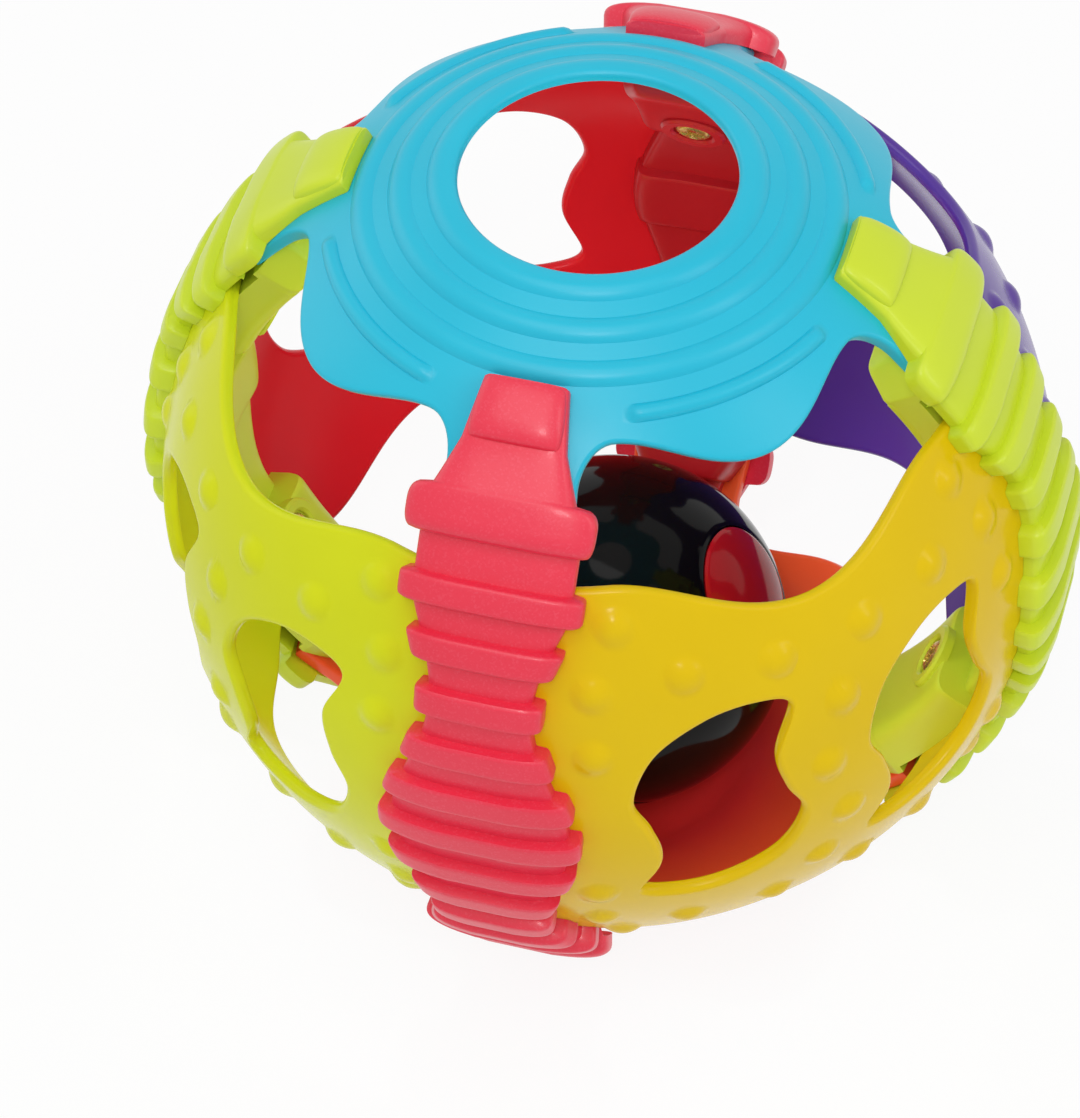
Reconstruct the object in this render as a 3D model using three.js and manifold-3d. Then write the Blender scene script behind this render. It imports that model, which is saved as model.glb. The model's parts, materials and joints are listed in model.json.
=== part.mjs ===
// Activity ball: an open cage for small hands with a loose rattle ball inside.
// Four ribbed arms, each an outer and an inner half screwed together, clamp the tabs of two
// lobed caps and the edges of four pierced panels. All sizes are millimetres and degrees.
import * as THREE from 'three';
import { mergeVertices } from 'three/addons/utils/BufferGeometryUtils.js';
import Module from 'manifold-3d';

const wasm = await Module();
wasm.setup();

// Fits between pieces
const CLEARANCE = 0.3; // left between pieces that touch
const SEAT_GAP = 0.5; // between a curved seat and the facets of the piece on it

// Caps: spherical shells with lobes between the arms and tabs under the arm ends
const CAP_RISE = 1.3; // how far a cap stands out from the panels
const CAP_WALL = 2.3;
const HOLE_RADIUS = 18.2;
const LIP_DEPTH = 1.4;
const LIP_ROUND = 0.9;
const RIDGE_LATS = [71.0, 65.9, 60.8];
const RIDGE_HEIGHT = 0.7;
const RIDGE_HALF_SPREAD = 1.3;
const LOBE_EDGE_LAT = 47.6;
const NOTCH_LAT = 52.8;
const NOTCH_LON = 26.5;
const TAB_ROOT_LAT = 46.5;
const TAB_END_LAT = 41.2;
const TAB_HALF_LON = 11.6;
const TAB_TAPER_LON = 0.4;
const TAB_STEP_BELOW = 0.6; // both arm halves step over a tab's end, from below it to above it
const TAB_STEP_ABOVE = 0.4;
const ARC_RIDGE_LAT = 56;
const ARC_RIDGE_HALF_LON = 21.5;
const ARC_RIDGE_RADIUS = 0.95;
const FOOT_RISE = 0.4; // standing ring of the bottom cap, past the rim of a hole in its place
const FOOT_WIDTH = 1.8;
const FLOOR_RECESS = 0.8;
const FLOOR_WALL = 2.0;

// Panels: a quarter of the cage each, with two wavy openings and rows of bumps
const PANEL_RADIUS = 62.0;
const PANEL_WALL = 2.0;
const PANEL_SIDE_GAP_LON = 3.6; // from the middle of an arm to a panel's side edge
const PANEL_DIP_LAT = 29.9;
const PANEL_PEAK_LAT = 36.2;
const PANEL_PEAK_LON = 28;
const PANEL_SHOULDER_DROP = 0.6;
const OPENING_LON = 15.5;
const OPENING_LAT = 1.8;
// Half of one opening's outline about its own middle, as [longitude, latitude].
// Turned by half a turn it gives the other half.
const OPENING_HALF = [
  [5.0, 16.5],
  [9.8, 14.7],
  [7.3, 7.6],
  [8.5, 1.6],
  [10.7, -4.0],
  [8.0, -11.2],
  [1.6, -15.5],
];
const BUMP_RADIUS = 2.7;
const BUMP_HEIGHT = 0.9;
// Half of a panel's bumps, as [longitude, latitude] from the panel's middle.
// Turned by half a turn they give the other half.
const BUMP_HALF = [
  [-28, 31.2],
  [28, 31.2],
  [-31, 22.6],
  [31, 22.6],
  [-31, 13.6],
  [31, 13.6],
  [-19, 24.2],
  [19, 24.2],
  [-6.5, 23.4],
  [6.5, 23.4],
  [1.2, 14.8],
  [-1.5, 5.2],
];

// Outer arm halves: ribs across, a waist between bulges, and a bar at each end
const ARM_VALLEY_HEIGHT = 2.5; // above the panels
const RIB_HEIGHT = 1.4;
const RIB_PITCH = 6.8;
const RIBS_EACH_WAY = 5;
const RIB_FOOT = 1.95; // half of a rib along the arm, in degrees
const RIB_TOP = 1.2;
const RIB_OVERHANG = 1.6;
const BULGE_HALF_WIDTH = 13.6;
const WAIST_HALF_WIDTH = 8.3;
const WAIST_ANGLE = 20.3;
const SHOULDER_ANGLE = 43.3;
const SHOULDER_HALF_WIDTH = 11.9;
const SHOULDER_FOOT = 2.9;
const SHOULDER_TOP = 1.7;
const SHOULDER_HEIGHT = 0.8; // above the neck
const NECK_HEIGHT = 2.7; // above the caps
const NECK_BASE_HALF_WIDTH = 8.9;
const NECK_TIP_HALF_WIDTH = 6.3;
const BAR_START = 51.7;
const BAR_END = 59.0;
const BAR_START_HALF_WIDTH = 6.1;
const BAR_END_HALF_WIDTH = 5.3;
const BAR_SLOPE = 0.9; // degrees taken by a bar's sloping ends
const BAR_HEIGHT = 1.0; // above the neck

// Inner arm halves: strips inside the cage with a pad in the middle and a screw block near each end
const STRIP_WALL = 2.0;
const STRIP_INSET = 0.8; // narrower than the outer half on each side
const STRIP_TIP_ANGLE = 53.0;
const STRIP_TIP_HALF_WIDTH = 4.6;
const STRIP_TIP_WALL = 1.8;
const PAD_HEIGHT = 1.6;
const PAD_FOOT = 5.2; // half of the pad along the arm, in degrees
const PAD_TOP = 4.0;
const BLOCK_DEPTH = 4.3;
const BLOCK_START = 22.5;
const BLOCK_END = 46.2;
const BLOCK_SLOPE = 1.5; // degrees taken by a block's sloping ends
const BLOCK_HALF_WIDTH = 9.6;
const BLOCK_END_HALF_WIDTH = 7.0;

// Fasteners: pan head screws in round bosses of the inner half, turned into posts of the outer one
const SCREW_ANGLE = 26.7; // from the middle of the arm
const SCREW_HEAD_RADIUS = 2.6;
const SCREW_HEAD_HEIGHT = 1.5;
const SCREW_SHANK_RADIUS = 1.2;
const SCREW_BITE = 2.8; // length of shank inside the outer half's post
const BOSS_RADIUS = 4.8;
const BOSS_HEIGHT = 1.0;
const BOSS_COUNTERBORE = 1.9;
const POST_RADIUS = 3.0;

// Rattle ball: two half shells, a round window in each, and beads inside
const BALL_RADIUS = 25.6;
const BALL_WALL = 2.6;
const WINDOW_HALF_ANGLE = 23;
const WINDOW_WALL = 1.2;
const WINDOW_AXIS_LON = 92.5;
const WINDOW_AXIS_LAT = 33;
const SEAM_LAP = 1.6;
const BEAD_RADIUS = 3.0;
const BEADS_ROUND = 5;

// Sides and steps of the facets
const CAP_SIDES = 24;
const PANEL_STEPS_LON = 7;
const PANEL_STEPS_LAT = 7;
const OPENING_STEPS = 16;
const BUMP_SIDES = 4;
const HOLE_SIDES = 8;
const BORE_SIDES = 6;
const BALL_SIDES = 16;

// Places worked out from the sizes above
const CAP_RADIUS = PANEL_RADIUS + CAP_RISE;
const CAP_INNER = CAP_RADIUS - CAP_WALL;
const PANEL_INNER = PANEL_RADIUS - PANEL_WALL;
const RIM_HEIGHT = Math.sqrt(CAP_RADIUS ** 2 - HOLE_RADIUS ** 2);
const FOOT_HEIGHT = RIM_HEIGHT + FOOT_RISE; // below the cage centre
const FLOOR_OUTER = FOOT_HEIGHT - FLOOR_RECESS;
const FLOOR_INNER = FLOOR_OUTER - FLOOR_WALL;
const ARM_SEAT = PANEL_RADIUS + SEAT_GAP;
const ARM_VALLEY = PANEL_RADIUS + ARM_VALLEY_HEIGHT;
const ARM_CREST = ARM_VALLEY + RIB_HEIGHT;
const ARM_END_SEAT = CAP_RADIUS + SEAT_GAP;
const NECK_RADIUS = CAP_RADIUS + NECK_HEIGHT;
const SHOULDER_CREST = NECK_RADIUS + SHOULDER_HEIGHT;
const BAR_CREST = NECK_RADIUS + BAR_HEIGHT;
const STRIP_SEAT = PANEL_INNER - SEAT_GAP;
const STRIP_END_SEAT = CAP_INNER - SEAT_GAP;
const STRIP_VALLEY = STRIP_SEAT - STRIP_WALL;
const PAD_FACE = STRIP_VALLEY - PAD_HEIGHT;
const BLOCK_FACE = STRIP_VALLEY - BLOCK_DEPTH;
const BOSS_FACE = BLOCK_FACE - BOSS_HEIGHT;
const TAB_STEP_ANGLE = TAB_END_LAT - TAB_STEP_BELOW;
const TAB_STEP_END = TAB_END_LAT + TAB_STEP_ABOVE;
const SCREW_SEAT = BOSS_FACE + BOSS_COUNTERBORE;
const BALL_REST = FLOOR_INNER - CLEARANCE - BALL_RADIUS; // ball centre, below the cage centre
const FAR_OUT = 1.3 * CAP_RADIUS; // cutters reach well past every wall
const FAR_IN = 0.8 * CAP_RADIUS;

const radians = THREE.MathUtils.degToRad;

// A point on a sphere: longitude 0 is the front (-Y) and 90 the right (+X).
function onSphere(radius, lon, lat) {
  const level = radius * Math.cos(radians(lat));
  return new THREE.Vector3(
    level * Math.sin(radians(lon)),
    -level * Math.cos(radians(lon)),
    radius * Math.sin(radians(lat)),
  );
}

// A point on the front arm: angle along the arm, distance across it, radius from the cage centre.
function onArm(angle, across, radius) {
  const turn = across / PANEL_RADIUS;
  const level = radius * Math.cos(turn);
  return new THREE.Vector3(
    radius * Math.sin(turn),
    -level * Math.cos(radians(angle)),
    level * Math.sin(radians(angle)),
  );
}

// Turns a closed mesh so that its faces point outward.
function facingOut(geometry) {
  const place = geometry.attributes.position;
  const index = geometry.index;
  const [a, b, c] = [new THREE.Vector3(), new THREE.Vector3(), new THREE.Vector3()];
  let volume = 0;
  for (let corner = 0; corner < index.count; corner += 3) {
    a.fromBufferAttribute(place, index.getX(corner));
    b.fromBufferAttribute(place, index.getX(corner + 1));
    c.fromBufferAttribute(place, index.getX(corner + 2));
    volume += a.dot(b.cross(c));
  }
  if (volume < 0) {
    index.array.reverse();
  }
  return geometry;
}

// A closed mesh from points and triangles.
function closedMesh(points, triangles) {
  const geometry = new THREE.BufferGeometry();
  geometry.setFromPoints(points);
  geometry.setIndex(triangles.flat());
  return facingOut(geometry);
}

// A body lofted through equal loops of points, with flat fans on its two ends.
function loft(loops) {
  const count = loops[0].length;
  const points = loops.flat();
  const triangles = [];
  for (let station = 0; station + 1 < loops.length; station += 1) {
    for (let side = 0; side < count; side += 1) {
      const next = (side + 1) % count;
      const a = station * count + side;
      const b = station * count + next;
      triangles.push([a, b, b + count], [a, b + count, a + count]);
    }
  }
  for (const end of [0, loops.length - 1]) {
    const middle = points.length;
    const sum = loops[end].reduce((total, point) => total.add(point), new THREE.Vector3());
    points.push(sum.divideScalar(count));
    for (let side = 0; side < count; side += 1) {
      const a = end * count + side;
      const b = end * count + ((side + 1) % count);
      triangles.push(end === 0 ? [middle, b, a] : [middle, a, b]);
    }
  }
  return closedMesh(points, triangles);
}

function toSolid(geometry) {
  const bare = geometry.clone();
  bare.deleteAttribute('normal');
  bare.deleteAttribute('uv');
  const welded = mergeVertices(bare, 1e-4);
  const mesh = new wasm.Mesh({
    numProp: 3,
    vertProperties: new Float32Array(welded.attributes.position.array),
    triVerts: new Uint32Array(welded.index.array),
  });
  mesh.merge();
  return new wasm.Manifold(mesh);
}

function toGeometry(solid) {
  const mesh = solid.getMesh();
  const geometry = new THREE.BufferGeometry();
  geometry.setAttribute('position', new THREE.BufferAttribute(mesh.vertProperties, 3));
  geometry.setIndex(new THREE.BufferAttribute(mesh.triVerts, 1));
  return geometry;
}

// A round bar along a radius of the cage, between two distances from the centre.
function radialBar(lon, lat, radius, from, to, sides = HOLE_SIDES) {
  const bar = new THREE.CylinderGeometry(radius, radius, to - from, sides);
  bar.rotateX(Math.PI / 2);
  bar.translate(0, 0, (from + to) / 2);
  const turn = new THREE.Quaternion();
  turn.setFromUnitVectors(new THREE.Vector3(0, 0, 1), onSphere(1, lon, lat));
  bar.applyQuaternion(turn);
  return toSolid(bar);
}

// The edge of a cap as [longitude from the lobe's middle, latitude]: one lobe and half a tab each side.
function lobeEdge() {
  const half = [];
  const lobeSteps = 4;
  for (let step = 1; step <= lobeSteps; step += 1) {
    const share = step / lobeSteps;
    const rise = (1 - Math.cos(Math.PI * share)) / 2;
    half.push([NOTCH_LON * share, LOBE_EDGE_LAT + (NOTCH_LAT - LOBE_EDGE_LAT) * rise]);
  }
  const tabSide = 45 - TAB_HALF_LON;
  const notchSteps = 2;
  for (let step = 1; step <= notchSteps; step += 1) {
    const turn = (Math.PI / 2) * (step / notchSteps);
    half.push([
      NOTCH_LON + (tabSide - NOTCH_LON) * Math.sin(turn),
      TAB_ROOT_LAT + (NOTCH_LAT - TAB_ROOT_LAT) * Math.cos(turn),
    ]);
  }
  half.push([tabSide + TAB_TAPER_LON, TAB_END_LAT]);
  const mirrored = half.map(([lon, lat]) => [-lon, lat]).reverse();
  return [...mirrored, [0, LOBE_EDGE_LAT], ...half];
}

// A radial block under the whole outline of a cap, to trim the revolved shell.
function capTrim() {
  const outline = [];
  for (let quarter = 0; quarter < 4; quarter += 1) {
    for (const [lon, lat] of lobeEdge()) {
      outline.push([45 + 90 * quarter + lon, lat]);
    }
  }
  const count = outline.length;
  const inner = outline.map(([lon, lat]) => onSphere(FAR_IN, lon, lat));
  const outer = outline.map(([lon, lat]) => onSphere(FAR_OUT, lon, lat));
  const points = [...inner, ...outer, new THREE.Vector3(), new THREE.Vector3(0, 0, 2 * FAR_OUT)];
  const triangles = [];
  for (let side = 0; side < count; side += 1) {
    const next = (side + 1) % count;
    triangles.push([side, next, count + next], [side, count + next, count + side]);
    triangles.push([2 * count, next, side], [2 * count + 1, count + side, count + next]);
  }
  return toSolid(closedMesh(points, triangles));
}

function profilePoint(radius, lat) {
  return new THREE.Vector2(radius * Math.cos(radians(lat)), radius * Math.sin(radians(lat)));
}

// The revolved outline of a cap's wall, from its outer rim to its inner one.
function wallProfile(ridgeLats) {
  const trimAllowance = 3;
  const lowest = TAB_END_LAT - trimAllowance;
  const outer = [];
  for (const lat of ridgeLats) {
    outer.push(profilePoint(CAP_RADIUS, lat + RIDGE_HALF_SPREAD));
    outer.push(profilePoint(CAP_RADIUS + RIDGE_HEIGHT, lat));
    outer.push(profilePoint(CAP_RADIUS, lat - RIDGE_HALF_SPREAD));
  }
  const lastRidge = ridgeLats[ridgeLats.length - 1];
  const outerSteps = 2;
  for (let step = 1; step <= outerSteps; step += 1) {
    outer.push(profilePoint(CAP_RADIUS, lastRidge + ((lowest - lastRidge) * step) / outerSteps));
  }
  const inner = [];
  const innerTop = 70;
  const innerSteps = 3;
  for (let step = 0; step <= innerSteps; step += 1) {
    inner.push(profilePoint(CAP_INNER, lowest + ((innerTop - lowest) * step) / innerSteps));
  }
  return [...outer, ...inner];
}

function revolve(profile, sides) {
  const geometry = new THREE.LatheGeometry(profile, sides);
  geometry.rotateX(Math.PI / 2);
  return facingOut(geometry);
}

// The short raised arc on each lobe of a cap.
function arcRidges() {
  const ridges = [];
  const arcSteps = 4;
  for (let quarter = 0; quarter < 4; quarter += 1) {
    const path = [];
    for (let step = 0; step <= arcSteps; step += 1) {
      const lon = 45 + 90 * quarter + ARC_RIDGE_HALF_LON * ((2 * step) / arcSteps - 1);
      path.push(onSphere(CAP_RADIUS, lon, ARC_RIDGE_LAT));
    }
    const section = new THREE.Shape();
    section.absarc(0, 0, ARC_RIDGE_RADIUS, 0, 2 * Math.PI);
    const tube = new THREE.ExtrudeGeometry(section, {
      steps: arcSteps,
      curveSegments: 2,
      extrudePath: new THREE.CatmullRomCurve3(path),
    });
    ridges.push(toSolid(tube));
  }
  return ridges;
}

// A cap pointing up, open in the middle or closed by a floor behind a standing ring.
function makeCap(closed) {
  const lipBottom = RIM_HEIGHT - LIP_DEPTH;
  const profile = closed
    ? [
        new THREE.Vector2(0, FLOOR_OUTER),
        new THREE.Vector2(HOLE_RADIUS, FLOOR_OUTER),
        new THREE.Vector2(HOLE_RADIUS, FOOT_HEIGHT),
        new THREE.Vector2(HOLE_RADIUS + FOOT_WIDTH, FOOT_HEIGHT),
        ...wallProfile(RIDGE_LATS.slice(1)),
        new THREE.Vector2(HOLE_RADIUS + CAP_WALL, FLOOR_INNER),
        new THREE.Vector2(0, FLOOR_INNER),
      ]
    : [
        new THREE.Vector2(HOLE_RADIUS, lipBottom),
        new THREE.Vector2(HOLE_RADIUS, RIM_HEIGHT - LIP_ROUND),
        new THREE.Vector2(HOLE_RADIUS + LIP_ROUND, RIM_HEIGHT),
        ...wallProfile(RIDGE_LATS),
        new THREE.Vector2(HOLE_RADIUS, lipBottom),
      ];
  let cap = toSolid(revolve(profile, CAP_SIDES));
  for (const ridge of arcRidges()) {
    cap = cap.add(ridge);
  }
  return toGeometry(cap.intersect(capTrim()));
}

// Latitude of a panel's upper edge at a longitude from its middle.
function panelEdge(lon) {
  const reach = Math.abs(lon);
  if (reach <= PANEL_PEAK_LON) {
    const rise = (1 - Math.cos((Math.PI * reach) / PANEL_PEAK_LON)) / 2;
    return PANEL_DIP_LAT + (PANEL_PEAK_LAT - PANEL_DIP_LAT) * rise;
  }
  const side = 45 - PANEL_SIDE_GAP_LON;
  return PANEL_PEAK_LAT - (PANEL_SHOULDER_DROP * (reach - PANEL_PEAK_LON)) / (side - PANEL_PEAK_LON);
}

// The plain curved wall of a panel, before its openings are cut.
function panelWall() {
  const side = 45 - PANEL_SIDE_GAP_LON;
  const columns = PANEL_STEPS_LON + 1;
  const rows = PANEL_STEPS_LAT + 1;
  const layer = columns * rows;
  const points = [];
  for (const radius of [PANEL_INNER, PANEL_RADIUS]) {
    for (let row = 0; row < rows; row += 1) {
      for (let column = 0; column < columns; column += 1) {
        const lon = side * ((2 * column) / PANEL_STEPS_LON - 1);
        const lat = panelEdge(lon) * ((2 * row) / PANEL_STEPS_LAT - 1);
        points.push(onSphere(radius, lon, lat));
      }
    }
  }
  const triangles = [];
  const rim = [];
  for (let row = 0; row < PANEL_STEPS_LAT; row += 1) {
    for (let column = 0; column < PANEL_STEPS_LON; column += 1) {
      const a = row * columns + column;
      const b = a + 1;
      const c = b + columns;
      const d = a + columns;
      triangles.push([layer + a, layer + b, layer + c], [layer + a, layer + c, layer + d]);
      triangles.push([a, c, b], [a, d, c]);
    }
  }
  for (let column = 0; column < PANEL_STEPS_LON; column += 1) {
    rim.push([column, column + 1]);
    rim.push([layer - 1 - column, layer - 2 - column]);
  }
  for (let row = 0; row < PANEL_STEPS_LAT; row += 1) {
    rim.push([(row + 1) * columns, row * columns]);
    rim.push([(row + 1) * columns - 1, (row + 2) * columns - 1]);
  }
  for (const [a, b] of rim) {
    triangles.push([a, b, layer + b], [a, layer + b, layer + a]);
  }
  return toSolid(closedMesh(points, triangles));
}

// A cutter through the wall along one wavy opening.
function openingCutter(middleLon) {
  const turned = OPENING_HALF.map(([lon, lat]) => [-lon, -lat]);
  const knots = [...OPENING_HALF, ...turned].map(([lon, lat]) => new THREE.Vector3(lon, lat, 0));
  const curve = new THREE.CatmullRomCurve3(knots, true);
  const outline = curve.getPoints(OPENING_STEPS).slice(0, OPENING_STEPS);
  const flat = outline.map((point) => new THREE.Vector2(point.x, point.y));
  const faces = THREE.ShapeUtils.triangulateShape(flat, []);
  const points = [];
  for (const radius of [FAR_IN, FAR_OUT]) {
    for (const point of flat) {
      points.push(onSphere(radius, middleLon + point.x, OPENING_LAT + point.y));
    }
  }
  const triangles = [];
  for (const [a, b, c] of faces) {
    triangles.push([a, c, b], [OPENING_STEPS + a, OPENING_STEPS + b, OPENING_STEPS + c]);
  }
  const reversed = THREE.ShapeUtils.isClockWise(flat);
  for (let side = 0; side < OPENING_STEPS; side += 1) {
    const a = reversed ? (side + 1) % OPENING_STEPS : side;
    const b = reversed ? side : (side + 1) % OPENING_STEPS;
    triangles.push([a, b, OPENING_STEPS + b], [a, OPENING_STEPS + b, OPENING_STEPS + a]);
  }
  return toSolid(closedMesh(points, triangles));
}

// A low bump on the outside of a panel, rooted inside the wall.
function panelBump(lon, lat) {
  const root = PANEL_WALL / 2;
  const spread = (BUMP_RADIUS * (BUMP_HEIGHT + root)) / BUMP_HEIGHT;
  const profile = [
    new THREE.Vector2(0, PANEL_RADIUS - root),
    new THREE.Vector2(spread, PANEL_RADIUS - root),
    new THREE.Vector2(0, PANEL_RADIUS + BUMP_HEIGHT),
  ];
  const bump = revolve(profile, BUMP_SIDES);
  const turn = new THREE.Quaternion();
  turn.setFromUnitVectors(new THREE.Vector3(0, 0, 1), onSphere(1, lon, lat));
  bump.applyQuaternion(turn);
  return toSolid(bump);
}

function makePanel() {
  let panel = panelWall();
  for (const middle of [-OPENING_LON, OPENING_LON]) {
    panel = panel.subtract(openingCutter(middle));
  }
  for (const [lon, lat] of BUMP_HALF) {
    panel = panel.add(panelBump(lon, lat)).add(panelBump(-lon, -lat));
  }
  return toGeometry(panel);
}

// Half the width of an arm's ribs at an angle along it: a bulge, a waist and a bulge again.
function ribHalfWidth(angle) {
  const middle = (BULGE_HALF_WIDTH + WAIST_HALF_WIDTH) / 2;
  const swing = (BULGE_HALF_WIDTH - WAIST_HALF_WIDTH) / 2;
  const wave = middle + swing * Math.cos((Math.PI * angle) / WAIST_ANGLE);
  return angle > WAIST_ANGLE ? Math.min(wave, SHOULDER_HALF_WIDTH) : wave;
}

// Stations of one rib as [angle, half width, how far it stands up from 0 to 1].
function ribStations(angle, foot, top, halfWidth) {
  return [
    [angle - foot, halfWidth - RIB_OVERHANG, 0],
    [angle - top, halfWidth, 1],
    [angle + top, halfWidth, 1],
    [angle + foot, halfWidth - RIB_OVERHANG, 0],
  ];
}

// Stations given for the upper half of an arm, carried on to its lower half.
function bothWays(upper) {
  const lower = upper.filter(([angle]) => angle > 0).map(([angle, ...rest]) => [-angle, ...rest]);
  return [...lower.reverse(), ...upper];
}

// Outer arm half: loops of six points at each station along the arm.
function makeOuterArm() {
  const upper = [
    [RIB_TOP, BULGE_HALF_WIDTH, ARM_CREST],
    [RIB_FOOT, BULGE_HALF_WIDTH - RIB_OVERHANG, ARM_VALLEY],
  ];
  for (let rib = 1; rib <= RIBS_EACH_WAY; rib += 1) {
    const angle = rib * RIB_PITCH;
    for (const [at, width, lift] of ribStations(angle, RIB_FOOT, RIB_TOP, ribHalfWidth(angle))) {
      upper.push([at, width, ARM_VALLEY + lift * (ARM_CREST - ARM_VALLEY)]);
    }
  }
  upper.push([SHOULDER_ANGLE - SHOULDER_FOOT, SHOULDER_HALF_WIDTH - RIB_OVERHANG, ARM_VALLEY]);
  upper.push([SHOULDER_ANGLE - SHOULDER_TOP, SHOULDER_HALF_WIDTH, SHOULDER_CREST]);
  upper.push([SHOULDER_ANGLE + SHOULDER_TOP, SHOULDER_HALF_WIDTH, SHOULDER_CREST]);
  upper.push([SHOULDER_ANGLE + SHOULDER_FOOT, NECK_BASE_HALF_WIDTH, NECK_RADIUS]);
  upper.push([BAR_START, NECK_TIP_HALF_WIDTH, NECK_RADIUS]);
  upper.push([BAR_START + BAR_SLOPE, BAR_START_HALF_WIDTH, BAR_CREST]);
  upper.push([BAR_END - BAR_SLOPE, BAR_END_HALF_WIDTH, BAR_CREST]);
  upper.push([BAR_END, BAR_END_HALF_WIDTH, NECK_RADIUS]);
  const loops = bothWays(upper).map(([angle, width, top]) => {
    const seat = Math.abs(angle) > TAB_STEP_ANGLE ? ARM_END_SEAT : ARM_SEAT;
    return [
      onArm(angle, -width, seat),
      onArm(angle, 0, seat),
      onArm(angle, width, seat),
      onArm(angle, width, top),
      onArm(angle, 0, top),
      onArm(angle, -width, top),
    ];
  });
  let arm = toSolid(loft(loops));
  for (const way of [-1, 1]) {
    const postEnd = STRIP_SEAT + CLEARANCE;
    arm = arm.add(radialBar(0, way * SCREW_ANGLE, POST_RADIUS, postEnd, ARM_VALLEY, BORE_SIDES));
    const boreEnd = postEnd + SCREW_BITE + CLEARANCE;
    const bore = SCREW_SHANK_RADIUS + CLEARANCE;
    arm = arm.subtract(radialBar(0, way * SCREW_ANGLE, bore, FAR_IN, boreEnd, BORE_SIDES));
  }
  return toGeometry(arm);
}

// Inner arm half: loops of six points, with screw bosses on its two blocks.
function makeInnerArm() {
  const padWidth = BULGE_HALF_WIDTH - STRIP_INSET;
  const upper = [
    [PAD_TOP, padWidth, PAD_FACE],
    [PAD_FOOT, padWidth - RIB_OVERHANG, STRIP_VALLEY],
  ];
  const waistSteps = 2;
  for (let step = 1; step <= waistSteps; step += 1) {
    const angle = PAD_FOOT + ((BLOCK_START - PAD_FOOT) * step) / waistSteps;
    upper.push([angle, ribHalfWidth(angle) - STRIP_INSET, STRIP_VALLEY]);
  }
  const tipFace = STRIP_END_SEAT - STRIP_TIP_WALL;
  upper.push([BLOCK_START + BLOCK_SLOPE, BLOCK_HALF_WIDTH, BLOCK_FACE]);
  upper.push([(BLOCK_START + TAB_STEP_ANGLE) / 2, BLOCK_HALF_WIDTH, BLOCK_FACE]);
  upper.push([TAB_STEP_ANGLE, BLOCK_HALF_WIDTH, BLOCK_FACE]);
  upper.push([TAB_STEP_END, BLOCK_HALF_WIDTH, BLOCK_FACE]);
  upper.push([BLOCK_END - BLOCK_SLOPE, BLOCK_END_HALF_WIDTH, BLOCK_FACE]);
  upper.push([BLOCK_END, STRIP_TIP_HALF_WIDTH + RIB_OVERHANG, tipFace]);
  upper.push([STRIP_TIP_ANGLE, STRIP_TIP_HALF_WIDTH, tipFace]);
  const loops = bothWays(upper).map(([angle, width, face]) => {
    const seat = Math.abs(angle) > TAB_STEP_ANGLE ? STRIP_END_SEAT : STRIP_SEAT;
    return [
      onArm(angle, -width, seat),
      onArm(angle, 0, seat),
      onArm(angle, width, seat),
      onArm(angle, width, face),
      onArm(angle, 0, face),
      onArm(angle, -width, face),
    ];
  });
  let strip = toSolid(loft(loops));
  for (const way of [-1, 1]) {
    const angle = way * SCREW_ANGLE;
    strip = strip.add(radialBar(0, angle, BOSS_RADIUS, BOSS_FACE, STRIP_VALLEY + CLEARANCE));
    const counterbore = SCREW_HEAD_RADIUS + CLEARANCE;
    strip = strip.subtract(radialBar(0, angle, counterbore, FAR_IN, SCREW_SEAT));
    const bore = SCREW_SHANK_RADIUS + CLEARANCE;
    strip = strip.subtract(radialBar(0, angle, bore, FAR_IN, FAR_OUT, BORE_SIDES));
  }
  return toGeometry(strip);
}

// A pan head screw, drawn along +Z with its head towards the cage centre.
function makeScrew() {
  const seat = SCREW_SEAT - CLEARANCE;
  const tip = STRIP_SEAT + CLEARANCE + SCREW_BITE;
  const crown = seat - SCREW_HEAD_HEIGHT;
  const profile = [
    new THREE.Vector2(0, crown),
    new THREE.Vector2(SCREW_HEAD_RADIUS, crown + SCREW_HEAD_HEIGHT / 2),
    new THREE.Vector2(SCREW_HEAD_RADIUS, seat),
    new THREE.Vector2(SCREW_SHANK_RADIUS, seat),
    new THREE.Vector2(SCREW_SHANK_RADIUS, tip - SCREW_SHANK_RADIUS),
    new THREE.Vector2(0, tip),
  ];
  return revolve(profile, HOLE_SIDES);
}

// Points of an arc about the ball's centre in a half shell's profile, by angle from its pole.
function shellArc(radius, from, to, steps) {
  const points = [];
  for (let step = 0; step <= steps; step += 1) {
    const angle = radians(from + ((to - from) * step) / steps);
    points.push(new THREE.Vector2(radius * Math.sin(angle), radius * Math.cos(angle)));
  }
  return points;
}

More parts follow.
